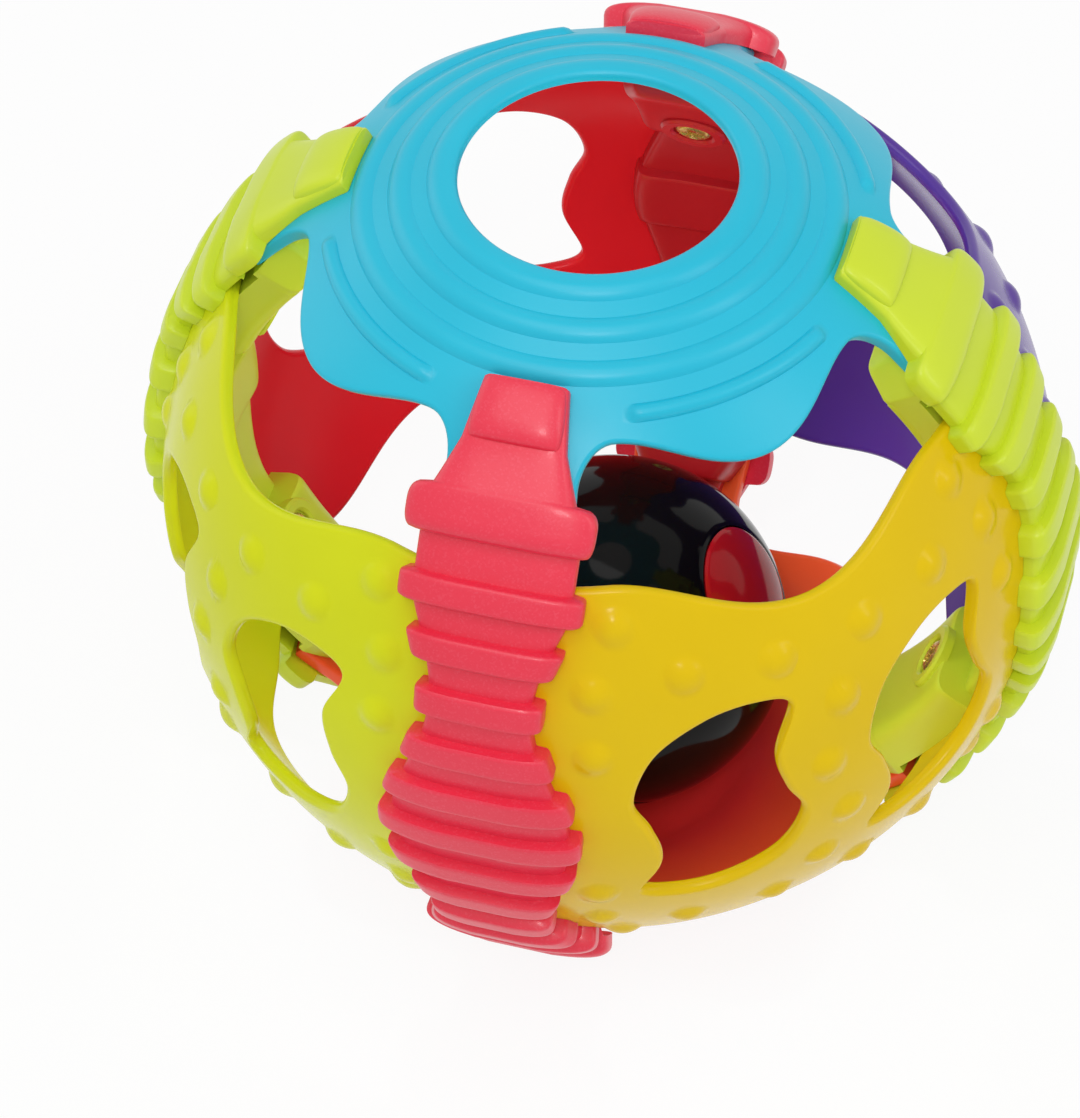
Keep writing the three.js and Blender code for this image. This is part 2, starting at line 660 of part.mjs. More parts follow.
// Half of the rattle ball about its window's axis, with a lap joint at the seam.
function makeShell(tongue) {
  const inner = BALL_RADIUS - BALL_WALL;
  const lap = BALL_RADIUS - BALL_WALL / 2;
  const pocket = BALL_RADIUS - WINDOW_WALL - CLEARANCE;
  const pocketAngle = WINDOW_HALF_ANGLE + CLEARANCE / radians(BALL_RADIUS);
  const outerLap = tongue ? lap - CLEARANCE / 2 : lap + CLEARANCE / 2;
  const joint = tongue
    ? [
        new THREE.Vector2(BALL_RADIUS, CLEARANCE / 2),
        new THREE.Vector2(outerLap, CLEARANCE / 2),
        new THREE.Vector2(outerLap, -SEAM_LAP),
        new THREE.Vector2(inner, -SEAM_LAP),
      ]
    : [
        new THREE.Vector2(BALL_RADIUS, CLEARANCE / 2),
        new THREE.Vector2(outerLap, CLEARANCE / 2),
        new THREE.Vector2(outerLap, SEAM_LAP + CLEARANCE),
        new THREE.Vector2(inner, SEAM_LAP + CLEARANCE),
      ];
  const innerSteps = 3;
  const seamAngle = tongue ? 90 : 90 - SEAM_LAP / radians(inner) - CLEARANCE / radians(inner);
  const bowl = shellArc(inner, seamAngle, 0, innerSteps).slice(1);
  const outerSteps = 5;
  const seamRound = 1;
  const profile = [
    ...shellArc(pocket, 0, pocketAngle, 2),
    ...shellArc(BALL_RADIUS, pocketAngle, 90 - seamRound, outerSteps),
    ...joint,
    ...bowl,
  ];
  profile[0].x = 0;
  profile[profile.length - 1].x = 0;
  return revolve(profile, BALL_SIDES);
}

// The round window that lies flush in a half shell's pocket.
function makeWindow() {
  const top = shellArc(BALL_RADIUS, 0, WINDOW_HALF_ANGLE, 2);
  const under = shellArc(BALL_RADIUS - WINDOW_WALL, WINDOW_HALF_ANGLE, 0, 2);
  const profile = [...top, ...under];
  profile[0].x = 0;
  profile[profile.length - 1].x = 0;
  return revolve(profile, BALL_SIDES);
}

// Finishes
function plastic(colour, roughness) {
  return new THREE.MeshStandardMaterial({ color: colour, roughness, metalness: 0 });
}

const pink = plastic(0xd22a43, 0.45);
const lime = plastic(0xc4d537, 0.4);
const blue = plastic(0x2bb8d6, 0.38);
const orange = plastic(0xd2562a, 0.38);
const yellow = plastic(0xe3c127, 0.35);
const limePanel = plastic(0xccd32f, 0.35);
const red = plastic(0xbc2027, 0.35);
const purple = plastic(0x4a2a78, 0.35);
const black = plastic(0x0f0c0d, 0.12);
const redWindow = plastic(0x911a1e, 0.1);
const beadWhite = plastic(0xd8d4cc, 0.5);
const brass = new THREE.MeshStandardMaterial({ color: 0xb59a4a, roughness: 0.35, metalness: 1 });

const activityBall = new THREE.Group();
const cage = new THREE.Group();
cage.position.z = FOOT_HEIGHT;
activityBall.add(cage);

function place(parent, name, geometry, material) {
  const mesh = new THREE.Mesh(geometry, material);
  mesh.name = name;
  parent.add(mesh);
  return mesh;
}

// Caps
place(cage, 'top_cap', makeCap(false), blue);
const bottomCap = place(cage, 'bottom_cap', makeCap(true), orange);
bottomCap.rotation.x = Math.PI;

// Panels, between the arms
const panelShape = makePanel();
const panels = [
  ['panel_front_right', yellow],
  ['panel_back_right', purple],
  ['panel_back_left', red],
  ['panel_front_left', limePanel],
];
panels.forEach(([name, material], quarter) => {
  const panel = place(cage, name, panelShape, material);
  panel.rotation.z = radians(45 + 90 * quarter);
});

// Arms with their screws
const outerShape = makeOuterArm();
const innerShape = makeInnerArm();
const screwShape = makeScrew();
const arms = [
  ['front', pink],
  ['right', lime],
  ['back', pink],
  ['left', lime],
];
arms.forEach(([side, material], quarter) => {
  const arm = new THREE.Group();
  arm.rotation.z = radians(90 * quarter);
  cage.add(arm);
  place(arm, `outer_arm_${side}`, outerShape, material);
  place(arm, `inner_arm_${side}`, innerShape, material);
  for (const [end, way] of [['upper', 1], ['lower', -1]]) {
    const screw = place(arm, `screw_${side}_${end}`, screwShape, brass);
    screw.quaternion.setFromUnitVectors(
      new THREE.Vector3(0, 0, 1),
      onSphere(1, 0, way * SCREW_ANGLE),
    );
  }
});

// Rattle ball at rest on the floor of the bottom cap
const rattle = new THREE.Group();
rattle.position.z = -BALL_REST;
cage.add(rattle);
const ballTurn = new THREE.Group();
ballTurn.quaternion.setFromUnitVectors(
  new THREE.Vector3(0, 0, 1),
  onSphere(1, WINDOW_AXIS_LON, WINDOW_AXIS_LAT),
);
rattle.add(ballTurn);
const windowShape = makeWindow();
for (const [end, flip] of [['upper', 0], ['lower', Math.PI]]) {
  const half = new THREE.Group();
  half.rotation.x = flip;
  ballTurn.add(half);
  place(half, `rattle_shell_${end}`, makeShell(flip === 0), black);
  place(half, `rattle_window_${end}`, windowShape, redWindow);
}

// Beads lying in the bottom of the rattle ball
const bowlFlats = (BALL_RADIUS - BALL_WALL) * Math.cos(Math.PI / BALL_SIDES) ** 2;
const beadReach = bowlFlats - BEAD_RADIUS - CLEARANCE;
const beadSpacing = 2 * BEAD_RADIUS + CLEARANCE;
const ringLat = THREE.MathUtils.radToDeg(2 * Math.asin(beadSpacing / (2 * beadReach))) - 90;
for (let bead = 0; bead <= BEADS_ROUND; bead += 1) {
  const ball = new THREE.SphereGeometry(BEAD_RADIUS, 6, 4);
  const mesh = place(rattle, `rattle_bead_${bead + 1}`, ball, beadWhite);
  mesh.position.copy(onSphere(beadReach, (360 / BEADS_ROUND) * bead, bead === 0 ? -90 : ringLat));
}

export default activityBall;
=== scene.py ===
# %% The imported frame
import json
import math

import bmesh
import bpy
from mathutils import Matrix, Vector


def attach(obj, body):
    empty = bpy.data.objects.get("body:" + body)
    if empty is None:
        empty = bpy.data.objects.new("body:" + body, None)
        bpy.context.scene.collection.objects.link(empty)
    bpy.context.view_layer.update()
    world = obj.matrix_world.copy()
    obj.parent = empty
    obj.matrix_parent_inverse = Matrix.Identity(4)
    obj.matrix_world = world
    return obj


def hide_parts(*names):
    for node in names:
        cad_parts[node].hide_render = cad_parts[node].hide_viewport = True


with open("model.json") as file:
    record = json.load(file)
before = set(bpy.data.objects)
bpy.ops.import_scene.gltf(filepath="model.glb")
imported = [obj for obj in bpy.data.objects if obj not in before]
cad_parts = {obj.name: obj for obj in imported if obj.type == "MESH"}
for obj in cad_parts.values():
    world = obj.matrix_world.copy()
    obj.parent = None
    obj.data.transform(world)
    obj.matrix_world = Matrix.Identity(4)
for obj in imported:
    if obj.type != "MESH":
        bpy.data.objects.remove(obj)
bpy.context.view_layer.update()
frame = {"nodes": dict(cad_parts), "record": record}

# %% [markdown]
# # An activity ball
# The toy is a hollow cage of moulded plastic with a loose rattle ball inside. Every piece is drawn in
# millimetres about the middle of the cage, where spheres are simple, and goes into the frame at the end.
# The middle of the cage and of the rattle ball are read from the joints, so nothing has to be fitted.

# %% Places read from the frame
MM = 0.001
joint_places = {joint["name"]: joint["pos_m"] for joint in frame["record"]["behaviour"]["joints"]}
CAGE_MIDDLE = Vector(joint_places["ball_orbit"])
BALL_MIDDLE = Vector(joint_places["ball_spin"])
BALL_DROP = (CAGE_MIDDLE.z - BALL_MIDDLE.z) / MM
print("cage middle", [round(value, 4) for value in CAGE_MIDDLE], "ball lies", round(BALL_DROP, 2), "mm lower")

# %% [markdown]
# ## The camera
# The photograph looks down on the ball from the front and a little from the right, from well over half a
# metre. The camera first aims at the middle of the cage and rolls, then turns until that middle falls on its
# pixel.

# %% Camera of the photograph
PHOTO_WIDTH = 1080
PHOTO_HEIGHT = 1118
FOCAL_PIXELS = 4186
CAGE_PIXEL = (608.0, 482.5)
CAMERA_DISTANCE = 0.585
CAMERA_AZIMUTH = math.radians(16.9)
CAMERA_ELEVATION = math.radians(48.4)
CAMERA_ROLL = math.radians(-1.83)
SENSOR_WIDTH = 36.0


def photo_camera():
    level = math.cos(CAMERA_ELEVATION)
    back = Vector((
        math.sin(CAMERA_AZIMUTH) * level,
        -math.cos(CAMERA_AZIMUTH) * level,
        math.sin(CAMERA_ELEVATION),
    ))
    right = Vector((math.cos(CAMERA_AZIMUTH), math.sin(CAMERA_AZIMUTH), 0))
    up = back.cross(right)
    rolled_right = math.cos(CAMERA_ROLL) * right + math.sin(CAMERA_ROLL) * up
    rolled_up = math.cos(CAMERA_ROLL) * up - math.sin(CAMERA_ROLL) * right
    aimed = Matrix((rolled_right, rolled_up, back))
    off_axis = Vector((
        (CAGE_PIXEL[0] - PHOTO_WIDTH / 2) / FOCAL_PIXELS,
        (PHOTO_HEIGHT / 2 - CAGE_PIXEL[1]) / FOCAL_PIXELS,
        -1,
    ))
    turn = Vector((0, 0, -1)).rotation_difference(off_axis).to_matrix()
    data = bpy.data.cameras.new("photo_camera")
    data.sensor_fit = "HORIZONTAL"
    data.sensor_width = SENSOR_WIDTH
    data.lens = FOCAL_PIXELS / PHOTO_WIDTH * SENSOR_WIDTH
    camera = bpy.data.objects.new("photo_camera", data)
    place = Matrix.Translation(CAGE_MIDDLE + back * CAMERA_DISTANCE)
    camera.matrix_world = place @ (turn @ aimed).transposed().to_4x4()
    bpy.context.scene.collection.objects.link(camera)
    bpy.context.scene.camera = camera
    return camera


print("camera lens", round(photo_camera().data.lens, 1), "mm")

# %% [markdown]
# ## Finishes
# All of the cage is injection moulded plastic. Real mouldings are never one flat colour: the colour drifts a
# little through the wall, and the skin has a fine grain that breaks up the gloss. One node group makes both
# from noise on Object coordinates, and each finish places it with its own colours.

# %% Helpers for nodes
def linear(red, green, blue):
    """A colour written as it looks on a screen, from 0 to 255, as the renderer wants it."""
    shares = [value / 255 for value in (red, green, blue)]
    return [s / 12.92 if s <= 0.04045 else ((s + 0.055) / 1.055) ** 2.4 for s in shares] + [1]


def new_group(name, inputs, outputs):
    """A node group with named sockets: the group, what it is given and what it makes."""
    group = bpy.data.node_groups.new(name, "ShaderNodeTree")
    for way, sockets in (("INPUT", inputs), ("OUTPUT", outputs)):
        for label, kind in sockets.items():
            group.interface.new_socket(name=label, in_out=way, socket_type=f"NodeSocket{kind}")
    given = group.nodes.new("NodeGroupInput").outputs
    made = group.nodes.new("NodeGroupOutput").inputs
    return group, given, made


def noise(nodes, links, place, scale, detail=2):
    texture = nodes.new("ShaderNodeTexNoise")
    texture.inputs["Scale"].default_value = scale
    texture.inputs["Detail"].default_value = detail
    links.new(place, texture.inputs["Vector"])
    return texture.outputs["Fac"]


def spread(nodes, links, value, low, high, near=0.2, far=0.8):
    """Stretches a value, or the middle of a noise, over a range."""
    stretch = nodes.new("ShaderNodeMapRange")
    for socket, number in (("From Min", near), ("From Max", far), ("To Min", low), ("To Max", high)):
        stretch.inputs[socket].default_value = number
    links.new(value, stretch.inputs["Value"])
    return stretch.outputs["Result"]


def combine(nodes, links, operation, first, second):
    node = nodes.new("ShaderNodeMath")
    node.operation = operation
    links.new(first, node.inputs[0])
    links.new(second, node.inputs[1])
    return node.outputs["Value"]


def mix_colours(nodes, links, share, first, second):
    """Goes from one colour to another; each is a fixed colour or comes from a node."""
    mix = nodes.new("ShaderNodeMix")
    mix.data_type = "RGBA"
    links.new(share, mix.inputs["Factor"])
    for name, colour in (("A", first), ("B", second)):
        if isinstance(colour, list):
            mix.inputs[name].default_value = colour
        else:
            links.new(colour, mix.inputs[name])
    return mix.outputs["Result"]


print("node helpers ready")

# %% The skin of a moulding, shared by every plastic
DRIFT_SCALE = 45
SMEAR_SCALE = 160
SMEAR = 0.03
GRAIN_SCALE = 1500


def moulding_skin():
    group, given, made = new_group(
        "moulding_skin",
        {"Colour": "Color", "Deep Colour": "Color", "Roughness": "Float"},
        {"Colour": "Color", "Roughness": "Float", "Height": "Float"},
    )
    nodes, links = group.nodes, group.links
    place = nodes.new("ShaderNodeTexCoord").outputs["Object"]
    drift = spread(nodes, links, noise(nodes, links, place, DRIFT_SCALE), 0, 1)
    links.new(mix_colours(nodes, links, drift, given["Colour"], given["Deep Colour"]), made["Colour"])
    smear = spread(nodes, links, noise(nodes, links, place, SMEAR_SCALE), -SMEAR, SMEAR)
    links.new(combine(nodes, links, "ADD", given["Roughness"], smear), made["Roughness"])
    links.new(noise(nodes, links, place, GRAIN_SCALE), made["Height"])
    return group


SKIN = moulding_skin()
print("node group", SKIN.name)

# %% [markdown]
# The pink arms carry a pearl pigment in the plastic, which sparkles where its flakes catch the light. A second
# group
# paints those glints into the colour: small cells, each with its own random value, and only the brightest of
# them are painted lighter, as painted glints.

# %% Pearl pigment with painted glints
CELL_SCALE = 4200
GLINT_FROM = 0.7
GLINT_SHARE = 0.08


def pearl_painted_glints():
    sockets = {"Colour": "Color", "Glint": "Color"}
    group, given, made = new_group("pearl_painted_glints", sockets, {"Colour": "Color"})
    nodes, links = group.nodes, group.links
    cells = nodes.new("ShaderNodeTexVoronoi")
    cells.inputs["Scale"].default_value = CELL_SCALE
    links.new(nodes.new("ShaderNodeTexCoord").outputs["Object"], cells.inputs["Vector"])
    split = nodes.new("ShaderNodeSeparateColor")
    links.new(cells.outputs["Color"], split.inputs["Color"])
    # Painted glints: the brightest cells lighten the base colour where pearl flakes would catch the light.
    bright = spread(nodes, links, split.outputs["Red"], 0, GLINT_SHARE, GLINT_FROM, 1)
    links.new(mix_colours(nodes, links, bright, given["Colour"], given["Glint"]), made["Colour"])
    return group


PAINTED_GLINTS = pearl_painted_glints()
print("node group", PAINTED_GLINTS.name)

# %% [markdown]
# The bowl of the bottom cap lies deep between the red panel and the pink strips, in shade and lit by the red
# they throw back. A third group paints that shade and red bounce light into the orange: a darker, redder
# colour is mixed in towards the middle of the bowl, only on faces that look up.

# %% Painted shade in the bowl
BOWL_MIDDLE = 0.022
BOWL_RIM = 0.036
LOOKS_UP = (0.1, 0.4)


def bowl_painted_shade():
    sockets = {"Colour": "Color", "Painted Bowl Shade": "Color"}
    group, given, made = new_group("bowl_painted_shade", sockets, {"Colour": "Color"})
    nodes, links = group.nodes, group.links
    place = nodes.new("ShaderNodeTexCoord")
    level = nodes.new("ShaderNodeVectorMath")
    level.operation = "MULTIPLY"
    level.inputs[1].default_value = (1, 1, 0)
    links.new(place.outputs["Object"], level.inputs[0])
    reach = nodes.new("ShaderNodeVectorMath")
    reach.operation = "LENGTH"
    links.new(level.outputs["Vector"], reach.inputs[0])
    facing = nodes.new("ShaderNodeSeparateXYZ")
    links.new(place.outputs["Normal"], facing.inputs["Vector"])
    # Painted shade and red bounce light: strongest in the middle of the bowl, and only on faces that look up.
    inward = spread(nodes, links, reach.outputs["Value"], 1, 0, BOWL_MIDDLE, BOWL_RIM)
    upward = spread(nodes, links, facing.outputs["Z"], 0, 1, *LOOKS_UP)
    share = combine(nodes, links, "MULTIPLY", inward, upward)
    links.new(mix_colours(nodes, links, share, given["Colour"], given["Painted Bowl Shade"]), made["Colour"])
    return group


PAINTED_BOWL_SHADE = bowl_painted_shade()
print("node group", PAINTED_BOWL_SHADE.name)

# %% [markdown]
# A plastic is then a Principled shader fed by the skin. The grain goes through a Bump node, and a thin clear
# coat gives the arms the tighter highlight that polished moulds leave. Values that are the same all over stay
# on the shader.

# %% Plastics
GRAIN_DEPTH = 0.0004
COAT_ROUGHNESS = 0.12


def principled(name):
    material = bpy.data.materials.new(name)
    material.use_nodes = True
    return material, material.node_tree.nodes, material.node_tree.links


def plastic(name, colour, deep, roughness, grain=0.03, coat=0.0, glint=None, shine=0.5, bowl=None):
    material, nodes, links = principled(name)
    shader = nodes["Principled BSDF"]
    skin = nodes.new("ShaderNodeGroup")
    skin.node_tree = SKIN
    skin.inputs["Colour"].default_value = linear(*colour)
    skin.inputs["Deep Colour"].default_value = linear(*deep)
    skin.inputs["Roughness"].default_value = roughness
    tone = skin.outputs["Colour"]
    # Painted glints and painted bowl shade are mixed into the base colour here.
    for tree, socket, second in ((PAINTED_GLINTS, "Glint", glint), (PAINTED_BOWL_SHADE, "Painted Bowl Shade", bowl)):
        if second:
            extra = nodes.new("ShaderNodeGroup")
            extra.node_tree = tree
            links.new(tone, extra.inputs["Colour"])
            extra.inputs[socket].default_value = linear(*second)
            tone = extra.outputs["Colour"]
    links.new(tone, shader.inputs["Base Color"])
    links.new(skin.outputs["Roughness"], shader.inputs["Roughness"])
    bump = nodes.new("ShaderNodeBump")
    bump.inputs["Strength"].default_value = grain
    bump.inputs["Distance"].default_value = GRAIN_DEPTH
    links.new(skin.outputs["Height"], bump.inputs["Height"])
    links.new(bump.outputs["Normal"], shader.inputs["Normal"])
    shader.inputs["Specular IOR Level"].default_value = shine
    shader.inputs["Coat Weight"].default_value = coat
    shader.inputs["Coat Roughness"].default_value = COAT_ROUGHNESS
    return material


FINISHES = {
    "cap_blue": plastic("cap_blue", (30, 188, 216), (22, 181, 210), 0.36, shine=0.4),
    # Orange cap, with painted shade and red bounce light in its bowl.
    "cap_orange": plastic("cap_orange", (250, 94, 46), (246, 87, 42), 0.34, shine=0.4, bowl=(222, 47, 50)),
    "panel_yellow": plastic("panel_yellow", (226, 192, 12), (221, 186, 10), 0.22, shine=0.14),
    "panel_purple": plastic("panel_purple", (86, 50, 151), (80, 46, 142), 0.22, shine=0.3),
    "panel_red": plastic("panel_red", (226, 33, 44), (218, 30, 40), 0.22, shine=0.14),
    "panel_lime": plastic("panel_lime", (214, 221, 28), (209, 215, 24), 0.22, shine=0.14),
    # Pink arms: pearl pigment, with painted glints mixed into the base colour.
    "arm_pink": plastic("arm_pink", (232, 44, 72), (226, 38, 65), 0.4, 0.08, 0.15, (246, 140, 160)),
    "arm_lime": plastic("arm_lime", (204, 222, 40), (198, 215, 36), 0.4, coat=0.15, shine=0.4),
    "strip_pink": plastic("strip_pink", (188, 29, 38), (180, 26, 34), 0.34, shine=0.4),
    "strip_lime": plastic("strip_lime", (212, 226, 62), (204, 218, 56), 0.38, shine=0.4),
    "ball_black": plastic("ball_black", (9, 8, 8), (7, 6, 6), 0.09, 0.01, shine=0.1),
    "window_red": plastic("window_red", (164, 19, 27), (156, 17, 24), 0.1, 0.01, shine=0.12),
    "bead_white": plastic("bead_white", (226, 222, 214), (216, 212, 204), 0.45),
}
print(len(FINISHES), "plastics")

# %% Brass for the screws
def plated_brass():
    material, nodes, links = principled("screw_brass")
    shader = nodes["Principled BSDF"]
    shader.inputs["Metallic"].default_value = 0.8
    place = nodes.new("ShaderNodeTexCoord").outputs["Object"]
    drift = spread(nodes, links, noise(nodes, links, place, 900, 3), 0, 1)
    tint = mix_colours(nodes, links, drift, linear(240, 220, 136), linear(206, 178, 92))
    links.new(tint, shader.inputs["Base Color"])
    rough = spread(nodes, links, noise(nodes, links, place, 3000), 0.2, 0.36)
    links.new(rough, shader.inputs["Roughness"])
    return material


FINISHES["screw_brass"] = plated_brass()
print(len(FINISHES), "finishes")

# %% [markdown]
# ## Drawing helpers
# Most mouldings here are a row of points that is extruded again and again, each new row being put where its
# formula says. A number stored on each point says which column it belongs to, and extruding copies that
# number, so the new row knows its order.

# %% Rows of points, extruded
def on_sphere(radius, lon, lat):
    """A point about the cage's middle: longitude 0 is the front and 90 the right, in degrees."""
    level = radius * math.cos(math.radians(lat))
    return Vector((
        level * math.sin(math.radians(lon)),
        -level * math.cos(math.radians(lon)),
        radius * math.sin(math.radians(lat)),
    ))


def extrude_rows(bm, columns, rows):
    """Closed rows of points; each row is a function from the column to the point's place."""
    mark = bm.verts.layers.int.get("column") or bm.verts.layers.int.new("column")
    first = []
    for column in range(columns):
        vert = bm.verts.new(rows[0](column))
        vert[mark] = column
        first.append(vert)
    edges = [bm.edges.new((first[column - 1], first[column])) for column in range(columns)]
    for row in rows[1:]:
        made = bmesh.ops.extrude_edge_only(bm, edges=edges)["geom"]
        fresh = {item for item in made if isinstance(item, bmesh.types.BMVert)}
        for vert in fresh:
            vert.co = row(vert[mark])
        lines = [item for item in made if isinstance(item, bmesh.types.BMEdge)]
        edges = [line for line in lines if line.verts[0] in fresh and line.verts[1] in fresh]


def weld(bm):
    """Merges points that fell together and turns all faces outward."""
    bmesh.ops.remove_doubles(bm, verts=bm.verts, dist=1e-4)
    bmesh.ops.dissolve_degenerate(bm, dist=1e-5, edges=bm.edges)
    bmesh.ops.recalc_face_normals(bm, faces=bm.faces)


SMOOTH_ANGLE = math.radians(38)


def put_piece(name, bm, finish, body, node, turn=None, middle=CAGE_MIDDLE):
    """A copy of a drawn shape, turned about its middle and set in the frame for a CAD node."""
    mesh = bpy.data.meshes.new(name)
    bm.to_mesh(mesh)
    place = Matrix.Translation(middle) @ Matrix.Scale(MM, 4)
    mesh.transform(place @ turn if turn else place)
    mesh.shade_smooth()
    mesh.set_sharp_from_angle(angle=SMOOTH_ANGLE)
    piece = bpy.data.objects.new(name, mesh)
    bpy.context.scene.collection.objects.link(piece)
    mesh.materials.append(FINISHES[finish])
    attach(piece, body)
    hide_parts(node)
    return piece


def quarter_turn(count):
    return Matrix.Rotation(math.radians(90 * count), 4, "Z")


print("helpers ready")

# %% [markdown]
# ## Caps
# A cap is a spherical shell. Its lower edge runs in lobes between the arms and in tabs under the arm ends, so
# the edge is drawn first, as longitudes and latitudes, and its points become the columns of the shell. The
# rows run from the hole's lip over the ring ridges to that edge, round it, and back along the inside. The
# bottom cap is drawn the same way up and turned over, and has a floor and a standing ring for a hole.

# %% The lobed edge
CAP_RADIUS = 63.3
CAP_WALL = 2.3
HOLE_RADIUS = 18.2
LOBE_EDGE_LAT = 47.6
NOTCH_LAT = 52.8
NOTCH_LON = 26.5
TAB_ROOT_LAT = 46.5
TAB_END_LAT = 41.2
TAB_SIDE_LON = 33.4
TAB_TAPER_LON = 0.4
LOBE_STEPS = 60
NOTCH_STEPS = 30
EDGE_STEP = 0.75


def half_lobe():
    """Longitude from the lobe's middle and latitude of the edge, from that middle to the arm's middle."""
    points = []
    for step in range(LOBE_STEPS):
        share = step / LOBE_STEPS
        rise = (1 - math.cos(math.pi * share)) / 2
        points.append((NOTCH_LON * share, LOBE_EDGE_LAT + (NOTCH_LAT - LOBE_EDGE_LAT) * rise))
    for step in range(NOTCH_STEPS):
        turn = math.pi / 2 * step / NOTCH_STEPS
        lon = NOTCH_LON + (TAB_SIDE_LON - NOTCH_LON) * math.sin(turn)
        points.append((lon, TAB_ROOT_LAT + (NOTCH_LAT - TAB_ROOT_LAT) * math.cos(turn)))
    points.append((TAB_SIDE_LON, TAB_ROOT_LAT))
    points.append((TAB_SIDE_LON + TAB_TAPER_LON, TAB_END_LAT))
    points.append((45, TAB_END_LAT))
    return points


def even_points(points, step, radius):
    """The same line with points a step apart on a sphere, its two ends kept."""
    places = [on_sphere(radius, lon, lat) for lon, lat in points]
    reach = [0.0]
    for a, b in zip(places, places[1:]):
        reach.append(reach[-1] + (b - a).length)
    count = round(reach[-1] / step)
    line = []
    at = 0
    for index in range(count + 1):
        goal = reach[-1] * index / count
        while at + 2 < len(reach) and reach[at + 1] < goal:
            at += 1
        share = (goal - reach[at]) / (reach[at + 1] - reach[at])
        a, b = points[at], points[at + 1]
        line.append((a[0] + (b[0] - a[0]) * share, a[1] + (b[1] - a[1]) * share))
    return line


def cap_edge():
    half = even_points(half_lobe(), EDGE_STEP, CAP_RADIUS)
    lobe = [(-lon, lat) for lon, lat in reversed(half[1:])] + half[:-1]
    return [(45 + 90 * quarter + lon, lat) for quarter in range(4) for lon, lat in lobe]


CAP_EDGE = cap_edge()
print("cap edge with", len(CAP_EDGE), "points")

# %% [markdown]
# The ridges are low, soft beads: three full rings round the hole and one short arc on each lobe. They are
# added to the shell's radius, and the rows crowd together where a ridge needs them. The edge is rounded by
# rows that step inward along the edge's own normal.

# %% Ridges and rounded edge
RING_RIDGES = (71.0, 65.9, 60.8)
RIDGE_HEIGHT = 0.7
RIDGE_SPREAD = 1.55
RIDGE_SOFTNESS = 0.95
ARC_RIDGE_LAT = 56.0
ARC_RIDGE_LON = 21.5
ARC_RIDGE_SPREAD = 1.1
ARC_RIDGE_HEIGHT = 0.85
ARC_RIDGE_SOFTNESS = 0.8
CROWD_STEPS = 10
LAST_FULL_LAT = 54.3
EDGE_ROUND = 0.6
ROUND_STEPS = 4


def bead(distance, spread_angle, softness):
    return max(0.0, 1 - (distance / spread_angle) ** 2) ** softness


def cap_relief(lon, lat, rings):
    ring_height = RIDGE_HEIGHT * max(bead(lat - ring, RIDGE_SPREAD, RIDGE_SOFTNESS) for ring in rings)
    past_end = max(0.0, abs(lon % 90 - 45) - ARC_RIDGE_LON) * math.cos(math.radians(lat))
    distance = math.hypot(lat - ARC_RIDGE_LAT, past_end)
    return max(ring_height, ARC_RIDGE_HEIGHT * bead(distance, ARC_RIDGE_SPREAD, ARC_RIDGE_SOFTNESS))


def crowded(middle, half_spread):
    """Latitudes across a ridge, from above it to below it."""
    turns = [math.pi * step / CROWD_STEPS for step in range(CROWD_STEPS + 1)]
    return [middle + half_spread * math.cos(turn) for turn in turns]


def inset_edge(edge, radius, depth):
    """The edge moved inward along its normal by a depth in millimetres."""
    moved = []
    for index, (lon, lat) in enumerate(edge):
        before = edge[index - 1]
        after = edge[(index + 1) % len(edge)]
        shrink = math.cos(math.radians(lat))
        east = (after[0] - before[0] + 180) % 360 - 180
        along = Vector((east * shrink, after[1] - before[1])).normalized()
        size = math.degrees(depth / radius)
        moved.append((lon - along.y * size / shrink, lat + along.x * size))
    return moved


CAP_INSET = inset_edge(CAP_EDGE, CAP_RADIUS, EDGE_ROUND)


def between(first, last, share):
    return first + (last - first) * share


print("edge rounded over", EDGE_ROUND, "mm")

# %% Rows of a cap
LIP_DEPTH = 1.4
LIP_ROUND = 0.9
LIP_LAT = 72.05
FOOT_RISE = 0.4
FOOT_WIDTH = 1.8
FOOT_SOFT = 0.2
FLOOR_RECESS = 0.8
FLOOR_SOFT = 0.3
FLOOR_WALL = 2.0
FLOOR_CORNER = ((1.7, 0.45), (0.5, 0.1), (-1.0, 0.0))
SKIRT_STEPS = 12
INNER_LATS = (58, 62, 66, 70)
RIM_HEIGHT = math.sqrt(CAP_RADIUS ** 2 - HOLE_RADIUS ** 2)


def ring_row(radius, height):
    return lambda column: Vector((
        radius * math.sin(math.radians(CAP_EDGE[column][0])),
        -radius * math.cos(math.radians(CAP_EDGE[column][0])),
        height,
    ))


def shell_row(lat, rings):
    def place(column):
        lon = CAP_EDGE[column][0]
        return on_sphere(CAP_RADIUS + cap_relief(lon, lat, rings), lon, lat)
    return place


def skirt_row(radius, share, edge, top=LAST_FULL_LAT):
    def place(column):
        lon, lat = edge[column]
        return on_sphere(radius, between(CAP_EDGE[column][0], lon, share), between(top, lat, share))
    return place


def edge_rows(edge_radius, wall):
    """Rows round the edge of a shell, from its outer skin to its inner one."""
    rows = []
    for step in range(1, ROUND_STEPS + 1):
        turn = math.pi / 2 * step / ROUND_STEPS
        edge = inset_edge(CAP_EDGE, CAP_RADIUS, EDGE_ROUND * (1 - math.sin(turn)))
        rows.append(skirt_row(edge_radius - EDGE_ROUND * (1 - math.cos(turn)), 1, edge))
    inner = edge_radius - wall
    for step in range(ROUND_STEPS + 1):
        turn = math.pi / 2 * step / ROUND_STEPS
        edge = inset_edge(CAP_EDGE, CAP_RADIUS, EDGE_ROUND * (1 - math.cos(turn)))
        rows.append(skirt_row(inner + EDGE_ROUND * (1 - math.sin(turn)), 1, edge))
    return rows


